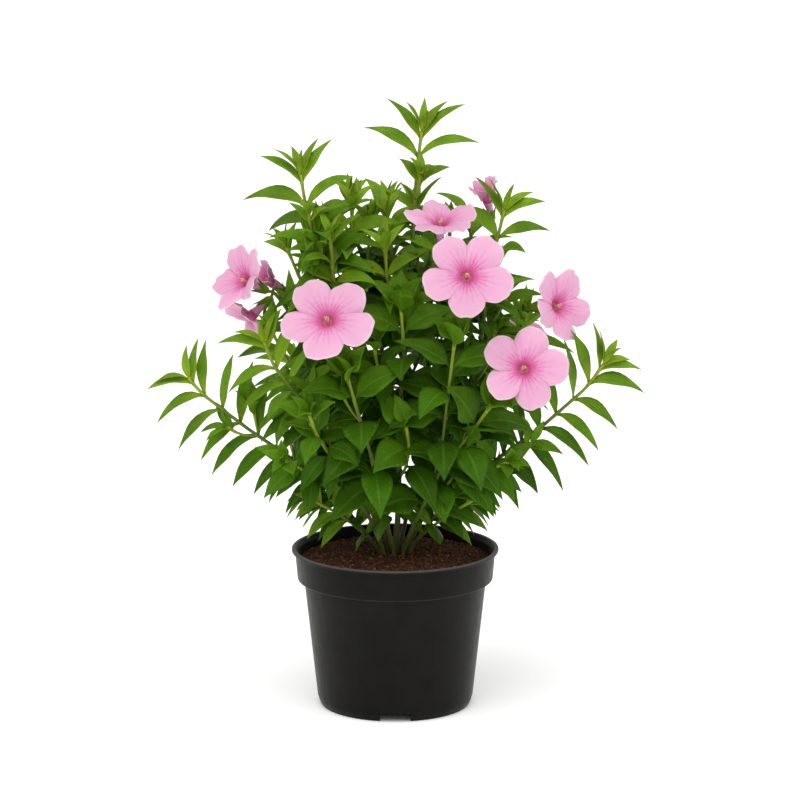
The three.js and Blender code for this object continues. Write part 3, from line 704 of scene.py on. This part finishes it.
def add_blade(gather, blade, key):
    leaf = blade.leaf
    side, out = sides_and_rows(BLADE.columns, BLADE.rows)
    sides, stations = side[0], out[:, 0]
    young = 1 - clamp(leaf.age / BLADE.flatAt)
    fold = BLADE.fold * mix(1 if leaf.broad else 1.3, 1.7, young)
    swell = BLADE.wave * leaf.width
    grid = []
    for s, middle in zip(stations, blade.line(stations)):
        wide, up = blade.frame(s)
        half = 0.5 * leaf.width * span(s, leaf.broad)
        rise = fold * half * (abs(sides) - 0.45 * sides ** 2 - 0.35)
        rise += swell * sides ** 2 * np.sin(9 * s + key + 1.7 * sides) * sin(pi * s)
        grid.append(middle + np.outer(0.97 * half * sides, wide) + np.outer(rise, up))
    age = clamp(leaf.age / BLADE.oldAt)
    gather.sheet(np.array(grid), BLADE.thickness, side=side, out=out, age=age, tone=leaf.tone)


def bent(leaf, corners):
    """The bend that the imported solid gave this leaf, or none if it was left out there."""
    for bend in BENDS:
        tip = Blade(leaf, bend).line(STATIONS)[-1]
        if norm(corners - tip, axis=1).min() < SAME_POINT:
            return bend
    return None


class BloomFrame:
    """The bloom's own frame: Z is the way it faces, and the throat's mouth is the origin."""

    def __init__(self, bloom):
        azimuth, elevation = (radians(a) for a in bloom.aim)
        level = np.array((sin(azimuth), -cos(azimuth), 0))
        self.facing = swing(level, np.array((0, 0, 1.0)), elevation)
        right = unit(np.cross((0, 0, 1), self.facing))
        self.first = swing(right, np.cross(self.facing, right), radians(bloom.roll))
        self.second = np.cross(self.facing, self.first)
        self.at = np.array(bloom.at, float)
        self.scale = mix(FLOWER.small, 1, bloom.size / FLOWER.full)

    def place(self, x, y, z):
        """A point from three numbers, or a grid of points from three grids."""
        ways = ((x, self.first), (y, self.second), (z, self.facing))
        return self.at + sum(np.multiply.outer(share, way) for share, way in ways)


# A petal is drawn in angle and distance from the throat's mouth
PETAL = Measures(
    rows=16, columns=26, thickness=0.3, centre=0.6, lobe=0.4, half=43,
    dent=0.024, arch=6.4, curl=2.2, crease=1.2, wave=1.3, frill=0.7,
    dip=2.2, overlap=0.9, fold=0.6, scallop=0.006, groove=1,
)


def add_petals(gather, bloom, key):
    at = BloomFrame(bloom)
    throat = 0.58 * FLOWER.throat * at.scale
    lift = radians(bloom.lift)
    side, out = sides_and_rows(PETAL.columns, PETAL.rows)
    angle = radians(PETAL.half) * side
    lobe = PETAL.lobe ** 2 - (PETAL.centre * np.sin(angle)) ** 2
    outline = PETAL.centre * np.cos(angle) + np.sqrt(np.maximum(lobe, 0))
    outline -= PETAL.dent * np.exp(-(side / 0.16) ** 2)
    groove = PETAL.groove * np.exp(-(side / 0.12) ** 2) * out * (1 - out)
    arch = PETAL.arch * out * (1 - out) * (1 - 0.8 * side ** 2)
    fall = PETAL.crease * side ** 2 * out + PETAL.curl * out ** 2 + groove
    over = PETAL.overlap * side * np.minimum(1, 2.5 * out)
    for petal in range(FLOWER.petals):
        vary = [draw(key, petal, n) for n in range(5)]
        waves = np.sin(7 * side + 5 * vary[2])
        waves += np.sin(19 * side + 9 * vary[1]) * (1 - side ** 2)
        reach = bloom.size * (outline - PETAL.scallop * waves) * mix(0.94, 1.04, vary[0])
        length = (reach - throat) * out
        ruffle = PETAL.wave * out ** 2 * np.sin(5 * side + 6 * vary[3])
        ruffle += PETAL.frill * out ** 4 * np.sin(13 * side + 6 * vary[0])
        ruffle += PETAL.fold * out * (1.3 - out) * np.sin(9 * side + 6 * vary[4])
        dip = PETAL.dip * at.scale * np.exp(-(length / (3.2 * at.scale)) ** 2)
        tip = mix(-1.5, 1.5, vary[1]) * out ** 2
        z = length * sin(lift) + arch - fall + ruffle + over + tip - dip
        radius = throat + length * cos(lift)
        turn = 2 * pi * petal / FLOWER.petals + angle
        grid = at.place(radius * np.cos(turn), radius * np.sin(turn), z)
        gather.sheet(grid, PETAL.thickness, side=side, out=out, tone=vary[4])


# The trumpet's rings: radius, height and how far out its colour is
TRUMPET = (
    (1.9, -18.6, 0.5), (2.6, -16, 0.5), (2.8, -12, 0.45), (3.1, -8, 0.4), (3.6, -5, 0.35),
    (4.2, -3.2, 0.3), (4.2, -2.2, 0.2), (3.5, -1.9, 0.04), (2.7, -2.4, 0.02), (2, -3.1, 0),
    (1.4, -4, 0), (0.9, -5, 0),
)


def add_trumpet(gather, bloom):
    """The tube that the petals grow out of, pale outside and deep magenta within."""
    at = BloomFrame(bloom)
    sides = 30
    rings = [ring(sides, radius * at.scale, z * at.scale) for radius, z, _ in TRUMPET]
    points = [at.place(*point) for each in rings for point in each]
    out = np.repeat([share for *_, share in TRUMPET], sides)
    gather.add(points, capped(len(rings), sides), side=0.5, out=out, tone=0.5)


STAMENS = Measures(count=5, foot=-4.4, tall=(2.6, 4.4), lean=(0.7, 1.7), style=5.2, styleLean=0.2)


def add_stamens(gather, bloom, key):
    """A style with five filaments round it, each swollen near its tip."""
    at = BloomFrame(bloom)
    places = np.linspace(0, 1, 7)
    for k in range(STAMENS.count + 1):
        angle = 2 * pi * (k + 0.3 * draw(key, k, 1)) / (STAMENS.count + 1)
        lean = mix(*STAMENS.lean, draw(key, k, 2)) if k else STAMENS.styleLean
        tall = mix(*STAMENS.tall, draw(key, k, 3)) if k else STAMENS.style
        radius = lean * (0.35 + 0.65 * places ** 2)
        z = mix(STAMENS.foot * at.scale, tall, places)
        line = at.place(radius * cos(angle), radius * sin(angle), z)
        radii = [0.28, 0.26, 0.24, 0.24, 0.26, 0.5, 0.28] if k else [0.3] * 6 + [0.42]
        gather.tube(line, radii, 7, out=places)


# The heights of the stalk's last points, the cup's rings of radius and height, and the sepals
CALYX = Measures(
    stalk=(-29, -21.6), stalkRadii=(1.3, 1.05),
    cup=((1.1, -22.5), (1.9, -21), (2.7, -19.4), (3.1, -17.4), (3, -16)),
    sepals=5, foot=-19.8, length=(11, 14), half=2.3, thickness=0.3,
)


def add_calyx(gather, bloom, start, key):
    """Stalk, green cup and five pointed sepals round the foot of the trumpet."""
    at = BloomFrame(bloom)
    line = catmull_rom([start, *(at.place(0, 0, z * at.scale) for z in CALYX.stalk)], 10)
    gather.tube(line, np.linspace(*CALYX.stalkRadii, len(line)), 9, slot=1, age=0.25)
    axis = [at.place(0, 0, z * at.scale) for _, z in CALYX.cup]
    gather.tube(axis, [r * at.scale for r, _ in CALYX.cup], 14, slot=1, age=0.1)
    side, s = sides_and_rows(4, 8)
    half = CALYX.half * at.scale * np.maximum(np.sin(pi * (0.12 + 0.88 * s) ** 0.75), 0.03)
    radius = (3 + s + 2.6 * s ** 2) * at.scale - 0.25 * half * side ** 2
    for sepal in range(CALYX.sepals):
        angle = 2 * pi * (sepal + 0.5) / CALYX.sepals
        length = mix(*CALYX.length, draw(key, sepal, 7)) * at.scale
        grid = at.place(
            radius * cos(angle) - half * side * sin(angle),
            radius * sin(angle) + half * side * cos(angle),
            length * s + CALYX.foot * at.scale,
        )
        gather.sheet(grid, CALYX.thickness, side=side, out=s, age=0.3, tone=0.4)


def add_shoot(gather, line, radius, plan, ageing=STEM.ageing):
    """A shoot's round tube, a little swollen where each pair of leaves stands."""
    steps = max(6, int(line.length / 3))
    distance = line.length * np.arange(steps + 1) / steps
    near = np.full(steps + 1, 99.0)
    for _, down, _ in pairs_of(line, plan):
        near = np.minimum(near, abs(distance - (line.length - down)))
    points = np.array([line.along(min(d, line.length - 1e-6))[0] for d in distance])
    for _ in range(2):
        points[1:-1] = 0.25 * points[:-2] + 0.5 * points[1:-1] + 0.25 * points[2:]
    radii = mix(0.7 * radius, 0.84 * STEM.tip, distance / line.length)
    radii = radii * (1 + 0.22 * np.exp(-(near / 2.2) ** 2))
    age = np.clip(ageing * (line.length - distance), 0, 1)
    gather.tube(points, radii, 10, slot=1, age=age)


# How far below a shoot's tip more leaves begin, in millimetres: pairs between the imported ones,
# and sprigs, which are short side growth in the leaf axils
FILL_FROM = {"broad": 16, "narrow": 40, "arm": 105}
SPRIG_FROM = {"broad": 24, "narrow": 62, "arm": 60}
SPRIG = Measures(
    share=0.5, length=(18, 32), lean=42, radius=0.95, leaf=0.85, ageing=0.006, older=42,
)
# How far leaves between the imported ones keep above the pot's rim: broad ones, and slim ones
ABOVE_RIM = (20, 3)


def clear_of_blooms(points, clear=1.0):
    """Whether points keep off every bloom's face and the space in front of it."""
    for at, size in BLOOM_FRAMES:
        for offset in points - at.at:
            z = np.dot(offset, at.facing)
            if -9 < z < 70 and norm(offset - z * at.facing) < clear * size:
                return False
    return True


def add_clear_blade(gather, leaf, key):
    """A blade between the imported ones, if it keeps off the blooms and above the bare stems."""
    blade = Blade(leaf, BENDS[0])
    points = np.array(blade.line(STATIONS))
    lowest = POT.height + ABOVE_RIM[0 if leaf.broad else 1]
    if clear_of_blooms(points) and points[:, 2].min() > lowest:
        add_blade(gather, blade, key)


def faces_viewer(leaf, plan):
    """Whether a leaf in the bush's broad middle turns to the side that its stem shows."""
    return plan.broad and np.dot(leaf.out(), leaf.face) > -0.1


def add_sprigs(gather, line, plan, keys):
    length, width = plan.leaf
    for pair, down, _ in pairs_of(line, plan):
        if down < SPRIG_FROM[plan.kind]:
            continue
        for side, leaf in enumerate(pair_at(line, plan, keys, pair, down)):
            chance = [draw(*keys, pair, side, n) for n in range(11, 16)]
            leaf.turn += mix(-40, 40, chance[1])
            if chance[0] > SPRIG.share or faces_viewer(leaf, plan):
                continue
            way = unit(swing(leaf.axis, leaf.out(), radians(SPRIG.lean)) + (0, 0, 0.2))
            reach = mix(*SPRIG.length, chance[2])
            middle = leaf.point + 0.5 * reach * way
            end = middle + 0.5 * reach * unit(way + (0, 0, 0.5))
            if not clear_of_blooms(np.array([middle, end]), 1.1):
                continue
            twig = Line([leaf.point, middle, end])
            blade = (length * SPRIG.leaf, width * mix(0.75, 0.9, chance[3]))
            spray = Shoot([], 6, blade, phase=180 * chance[4], gap=12, face=plan.face)
            add_shoot(gather, twig, SPRIG.radius, spray, SPRIG.ageing)
            spray_keys = (*keys, pair, side)
            for place, below, _ in pairs_of(twig, spray):
                for small in pair_at(twig, spray, spray_keys, place, below, older=SPRIG.older):
                    add_clear_blade(gather, small, pair + 3 * side + place)


# Shoots that only this scene has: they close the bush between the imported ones
MORE = {
    "top_centre": [
        Shoot([(2, 12, 305), (-4, 14, 338), (-6, 14, 358)], 10, (42, 12), 30, gap=14, start=0.58),
        Shoot([(16, 22, 312), (17, 28, 340), (14, 30, 362)], 12, (40, 12), 70, gap=14, start=0.6),
        Shoot([(30, 14, 306), (34, 16, 330), (33, 16, 346)], 12, (38, 11), 20, gap=14, start=0.52),
        Shoot([(-2, -6, 290), (-6, -12, 318), (-7, -14, 338)], 8, (42, 12), 10, gap=14, start=0.5),
    ],
    "upper_left": [
        Shoot([(-36, 2, 318), (-32, 4, 344), (-30, 4, 366)], 8, (41, 12), 0, gap=14, start=0.62),
        Shoot([(-62, 14, 296), (-72, 20, 318), (-78, 22, 332)], 10, (40, 11), 40, gap=13, start=0.5),
    ],
    "left_lower": [
        Shoot([(-36, -18, 142), (-58, -26, 156)], 4, (31, 9.5), 30, -6, gap=10, start=0.12),
        Shoot([(-44, 6, 150), (-70, 12, 166)], 6, (34, 10), 20, -6, gap=11, start=0.18),
    ],
    "right_lower": [
        Shoot([(35, -18, 142), (56, -26, 157)], 4, (31, 9.5), 30, -6, gap=10, start=0.12),
        Shoot([(44, 6, 152), (70, 12, 168)], 6, (34, 10), 20, -6, gap=11, start=0.18),
    ],
    "centre_front": [
        Shoot([(-8, -26, 240), (-13, -34, 258), (-15, -38, 272)], 4, (36, 15.5), gap=12, start=0.7),
        Shoot([(-6, -2, 244), (-10, 3, 262), (-12, 5, 280)], 4, (38, 15.5), 50, gap=11, start=0.62),
    ],
    "upper_right": [
        Shoot([(56, 22, 322), (54, 28, 346), (52, 30, 360)], 12, (40, 11), 60, gap=13, start=0.66),
    ],
}


def add_tip(gather, line, plan, keys):
    """The pair of leaves still folded together at a shoot's tip."""
    for side, leaf in enumerate(pair_at(line, plan, keys, 0, 0.5, turn_by=80)):
        leaf.rise = 5 + 6 * side
        add_clear_blade(gather, leaf, side)


def add_more(gather, base, radius, number, name):
    for n, plan in enumerate(MORE.get(name, [])):
        line = Line([base.along(plan.start * base.length)[0], *plan.to])
        add_shoot(gather, line, STEM.fork * radius, plan)
        add_tip(gather, line, plan, (number, 20 + n, 2))
        for pair, down, _ in pairs_of(line, plan):
            for leaf in pair_at(line, plan, (number, 20 + n), pair, down):
                add_clear_blade(gather, leaf, n + leaf.turn)


# Old leaves that hang over the soil: how far up the stem's first shoot, the azimuth they hang
# out to, right of the viewer's line, their length and width
HANGING = {
    "left_lower": [(0.17, -20, 20, 14)],
    "right_lower": [(0.2, 20, 24, 18), (0.27, 50, 22, 13)],
    "front_left": [(0.3, -12, 28, 21)],
    "centre_front": [(0.28, 14, 25, 17)],
}


def add_hanging(gather, line, name):
    down, level, right = np.array([(0, 0, -1.0), (0, -1.0, 0), (1.0, 0, 0)])
    for n, (share, azimuth, length, width) in enumerate(HANGING.get(name, [])):
        point = line.along(share * line.length)[0]
        leaf = Leaf(
            point, down, level, right, unit(FRONT), azimuth, rise=42, sag=0.9, length=length,
            width=width, twist=8, age=80, broad=True, tone=0.3 + 0.2 * n,
        )
        add_blade(gather, Blade(leaf, BENDS[0]), n)


def plant_piece(number, stem, materials):
    """One leafy stem: its shoots, leaves, flower stalks and calyces."""
    gather = Gather("side", "out", "age", "tone")
    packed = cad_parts["leafy_stem_" + stem.name].data
    corners = np.array([v.co for v in packed.vertices]) / MM
    lines = lines_of(stem)
    for k, (line, plan) in enumerate(zip(lines, stem.shoots)):
        keys = (number, k + 1)
        add_shoot(gather, line, stem.radius * (STEM.fork if k else 1), plan)
        for pair, down, gap in pairs_of(line, plan):
            for leaf in pair_at(line, plan, keys, pair, down):
                bend = bent(leaf, corners)
                if bend:
                    add_blade(gather, Blade(leaf, bend), number + leaf.turn)
            between = down + 0.5 * gap
            if FILL_FROM[plan.kind] < between < line.length - plan.bare:
                for leaf in pair_at(line, plan, (*keys, 1), pair, between, turn_by=55):
                    if not faces_viewer(leaf, plan):
                        add_clear_blade(gather, leaf, number + leaf.turn)
        add_sprigs(gather, line, plan, keys)
        add_tip(gather, line, plan, (*keys, 2))
    add_more(gather, lines[0], stem.radius, number, stem.name)
    add_hanging(gather, lines[0], stem.name)
    for k, bloom in enumerate(stem.blooms):
        line = lines[bloom.shoot]
        add_calyx(gather, bloom, line.along(bloom.start * line.length)[0], 40 + number + k)
    piece = gather.object("plant_" + stem.name, materials)
    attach(piece, "root")
    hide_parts("leafy_stem_" + stem.name)


def bloom_pieces(number, stem, k, bloom, petal, stamen):
    name = stem.name + (f"_{k + 1}" if len(stem.blooms) > 1 else "")
    petals = Gather("side", "out", "tone")
    add_petals(petals, bloom, 10 * number + k)
    add_trumpet(petals, bloom)
    piece = petals.object("flower_" + name, [petal])
    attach(piece, "root")
    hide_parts("corolla_" + name)
    centre = Gather("out")
    add_stamens(centre, bloom, 10 * number + k)
    piece = centre.object("filaments_" + name, [stamen])
    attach(piece, "root")
    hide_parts("stamens_" + name)


# Pot and soil

def turned(gather, profile, sides):
    """A closed turned body from a profile that starts and ends on the axis."""
    points = [point for radius, z in profile[1:-1] for point in ring(sides, radius, z)]
    foot = len(points)
    points += [(0, 0, profile[0][1]), (0, 0, profile[-1][1])]
    faces = list(bands(len(profile) - 2, sides))
    for k in range(sides):
        after = (k + 1) % sides
        faces += [(foot, after, k), (foot + 1, foot - sides + k, foot - sides + after)]
    gather.add(points, faces)


def rounded(corners):
    """The profile with each corner that has a bevel turned into an arc of five points."""
    profile = []
    for i, (radius, z, bevel) in enumerate(corners):
        here = np.array((radius, z), float)
        if not bevel:
            profile.append(tuple(here))
            continue
        back, on = (unit(np.array(corners[i + n][:2]) - here) * bevel for n in (-1, 1))
        for t in (0, 0.25, 0.5, 0.75, 1):
            profile.append(tuple(here + (1 - t) ** 2 * back + t ** 2 * on))
    return profile


def cut(piece, cutters):
    """Takes the cutters' shapes out of a piece."""
    for cutter in cutters:
        modifier = piece.modifiers.new("cut", "BOOLEAN")
        modifier.operation = "DIFFERENCE"
        modifier.solver = "EXACT"
        modifier.object = cutter
    bpy.context.view_layer.update()
    shaped = piece.evaluated_get(bpy.context.evaluated_depsgraph_get())
    shape = bpy.data.meshes.new_from_object(shaped)
    piece.modifiers.clear()
    piece.data = shape
    for cutter in cutters:
        bpy.data.objects.remove(cutter)


def painted_highlight(x, y, z):
    """How much painted highlight the plastic has at a point: the lip's upper edge and the band's lower
    edge.
    """
    lip = clamp((z - POT.height + 1.2) / 0.8) * clamp((hypot(x, y) - POT.rim + 3) / 0.6)
    band_highlight = 0.3 * exp(-((z - POT.ledge - POT.step / 2) / 0.9) ** 2)
    return max(lip, band_highlight * (hypot(x, y) > POT.bodyTop - 0.5))


def pot_piece(material):
    """The pot, from its foot's middle up the outside and down the inside, with its cuts."""
    height, wall, ledge, floor = POT.height, POT.wall, POT.ledge, POT.floor
    disc, foot, step, under_lip = POT.disc, POT.foot, ledge + POT.step, height - POT.lip
    gather = Gather("painted_highlight")
    turned(gather, rounded([
        (0, 0, 0), (disc, 0, 1.2), (disc + wall, floor, 1.2),
        (foot - POT.ring, floor, 1), (foot - POT.ring, 0, 0.8), (foot, 0, 1),
        (POT.bodyFoot, POT.bevel, 2), (POT.bodyTop, ledge, 0.8),
        (POT.bandFoot, step, 1), (POT.bandTop, under_lip - 0.4, 0.4),
        (POT.rim, under_lip, 0.9), (POT.rim, height, 0.9), (POT.rim - POT.lipWide, height, 0.8),
        (POT.bandTop - wall, under_lip - 1, 0.8), (POT.bandFoot - wall, step, 1),
        (POT.bodyTop - wall, ledge, 1), (POT.bodyFoot - wall, floor + wall, 2),
        (disc + 2 * wall, floor + wall, 1), (disc - wall, wall, 1), (0, wall, 0),
    ]), 160)
    # the painted highlight at each point of the pot
    gather.values["painted_highlight"] = [painted_highlight(*p) for p in gather.points]
    piece = gather.object("nursery_pot", [material])
    cutters = []
    for k, place in enumerate(ring(NOTCH.count, foot * MM)):
        bpy.ops.mesh.primitive_cube_add(size=1, location=place)
        box = bpy.context.object
        box.scale = (NOTCH.depth * MM, NOTCH.width * MM, 2 * NOTCH.height * MM)
        box.rotation_euler[2] = 2 * pi * k / NOTCH.count
        cutters.append(box)
    for place in ring(DRAIN.count, DRAIN.circle * MM, (floor + wall / 2) * MM, 0.5):
        bpy.ops.mesh.primitive_cylinder_add(
            vertices=24, radius=DRAIN.radius * MM, depth=4 * wall * MM, location=place,
        )
        cutters.append(bpy.context.object)
    cut(piece, cutters)
    piece.data.shade_smooth()
    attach(piece, "root")
    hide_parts("pot")


def soil_piece(material):
    """The soil's crumbly top, which reaches a little down the inside of the pot."""
    slope = (SOIL.edge - POT.ledge) / (POT.height - POT.ledge)
    edge = mix(POT.bandFoot, POT.bandTop, slope) - POT.wall - 0.4
    rings, sides = 90, 300
    points = [(0, 0, soil_height(0, 0))]
    for i in range(1, rings + 1):
        radius = edge * i / rings
        rim = clamp((edge - radius) / 3)
        for x, y, _ in ring(sides, radius):
            near = Vector((x, y, 0))
            lumps = 1.1 * noise.noise(near / 7) + 1.1 * noise.noise(near / 2.6)
            lumps += 0.9 * abs(noise.noise(near / 1.3)) - 0.3
            base = mix(SOIL.edge, soil_height(x, y), rim)
            points.append((x, y, base + lumps * mix(0.4, 1, rim)))
    points += ring(sides, edge - 0.3, SOIL.edge - 4.5) + ring(sides, edge - 1.2, SOIL.edge - 11.5)
    faces = [(0, 1 + k, 1 + (k + 1) % sides) for k in range(sides)]
    faces += [(a, d, c, b) for a, b, c, d in bands(rings + 2, sides, 1)]
    faces.append(tuple(reversed(range(len(points) - sides, len(points)))))
    gather = Gather()
    gather.add(points, faces)
    piece = gather.object("potting_soil", [material])
    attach(piece, "root")
    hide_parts("soil")


def crumb_pieces(material):
    """Loose crumbs and coir fibres on top of the soil."""
    rng = random.Random(7)
    gather = Gather("tone")
    reach = POT.bandFoot - POT.wall - 3

    def spot():
        radius = reach * sqrt(rng.random())
        angle = rng.uniform(0, 2 * pi)
        return radius * cos(angle), radius * sin(angle)

    corners = np.array([(1, 0, 0), (-1, 0, 0), (0, 1, 0), (0, -1, 0), (0, 0, 1), (0, 0, -1)])
    faces = [(0, 2, 4), (2, 1, 4), (1, 3, 4), (3, 0, 4), (2, 0, 5), (1, 2, 5), (3, 1, 5), (0, 3, 5)]
    for _ in range(SOIL.crumbs):
        x, y = spot()
        size = rng.uniform(*SOIL.crumbSize)
        sizes = [[size * rng.uniform(0.6, 1.2)] for _ in corners]
        centre = np.array((x, y, soil_height(x, y) + 0.5))
        gather.add(centre + corners * sizes, faces, tone=rng.random())
    for _ in range(SOIL.fibres):
        x, y = spot()
        way = rng.uniform(0, 2 * pi)
        length = rng.uniform(*SOIL.fibreLength)
        bow = rng.uniform(-0.35, 0.35)
        line = []
        for s in (-0.5, -0.25, 0, 0.25, 0.5):
            px = x + length * (s * cos(way) - bow * s * s * sin(way))
            py = y + length * (s * sin(way) + bow * s * s * cos(way))
            line.append((px, py, soil_height(px, py) + 0.9 + 0.5 * sin(3 * s + bow)))
        gather.tube(line, [0.08, 0.14, 0.16, 0.14, 0.07], 5, tone=rng.uniform(0.6, 1))
    piece = gather.object("soil_crumbs", [material], smooth=False)
    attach(piece, "root")


# Floor, light and camera

def stage():
    """A pale floor with a painted glow that washes its shadows out, and painted shade under the pot where
    the glow stops.
    """
    bpy.ops.mesh.primitive_plane_add(size=60)
    floor = bpy.context.object
    floor.name = "floor"
    # painted light: the floor glows a little though it is no lamp
    s = Shader("floor", Roughness=0.8, Specular_IOR_Level=0, Emission_Strength=0.22,
               Base_Color=(0.97, 0.97, 0.97, 1))
    # painted shade: the glow fades out between 46 and 60 mm from the pot's axis, so the floor is dark
    # under the pot
    reach = s.node("VectorMath", {0: s.place()}, "Value", operation="LENGTH")
    painted_glow = s.ramp(s.math("DIVIDE", reach, 0.1), (0.46, 0), (0.6, 1))
    s.feed(s.surface["Emission Color"], painted_glow)
    floor.data.materials.append(s.material)


def sun(name, azimuth, elevation, spread, strength, colour=(1, 1, 1)):
    """A broad soft light, so many degrees wide, from an azimuth to the right of the viewer."""
    light = bpy.data.lights.new(name, "SUN")
    light.energy = strength
    light.angle = radians(spread)
    light.color = colour
    turn, lift = radians(azimuth), radians(elevation)
    level = cos(lift)
    way = Vector((sin(turn) * level, -cos(turn) * level, sin(lift)))
    shown(name, light).rotation_euler = way.to_track_quat("Z", "Y").to_euler()


def lights():
    world = bpy.data.worlds.new("studio")
    world.use_nodes = True
    sky = world.node_tree.nodes["Background"].inputs
    sky["Color"].default_value = (1, 1, 1, 1)
    sky["Strength"].default_value = 0.62
    bpy.context.scene.world = world
    sun("key", -30, 60, 60, 1.3, (1, 0.99, 0.97))
    sun("fill", 40, 48, 90, 0.8)
    bpy.context.scene.view_settings.view_transform = "Standard"


def camera():
    lens = bpy.data.cameras.new("camera")
    lens.lens = CAMERA.lens
    lens.sensor_width = CAMERA.sensor
    lens.clip_end = 100
    eye = shown("camera", lens)
    eye.location = (CAMERA.x * MM, CAMERA.y * MM, CAMERA.z * MM)
    eye.rotation_euler = (radians(90 - CAMERA.down), 0, 0)
    bpy.context.scene.camera = eye


BLOOM_FRAMES = [(BloomFrame(bloom), bloom.size) for stem in STEMS for bloom in stem.blooms]
green = [leaf_material(), stem_material()]
pink = petal_material(), stamen_material()
for number, stem in enumerate(STEMS, 1):
    plant_piece(number, stem, green)
    for k, bloom in enumerate(stem.blooms):
        bloom_pieces(number, stem, k, bloom, *pink)
pot_piece(pot_material())
soil_piece(soil_material())
crumb_pieces(crumb_material())
stage()
lights()
camera()
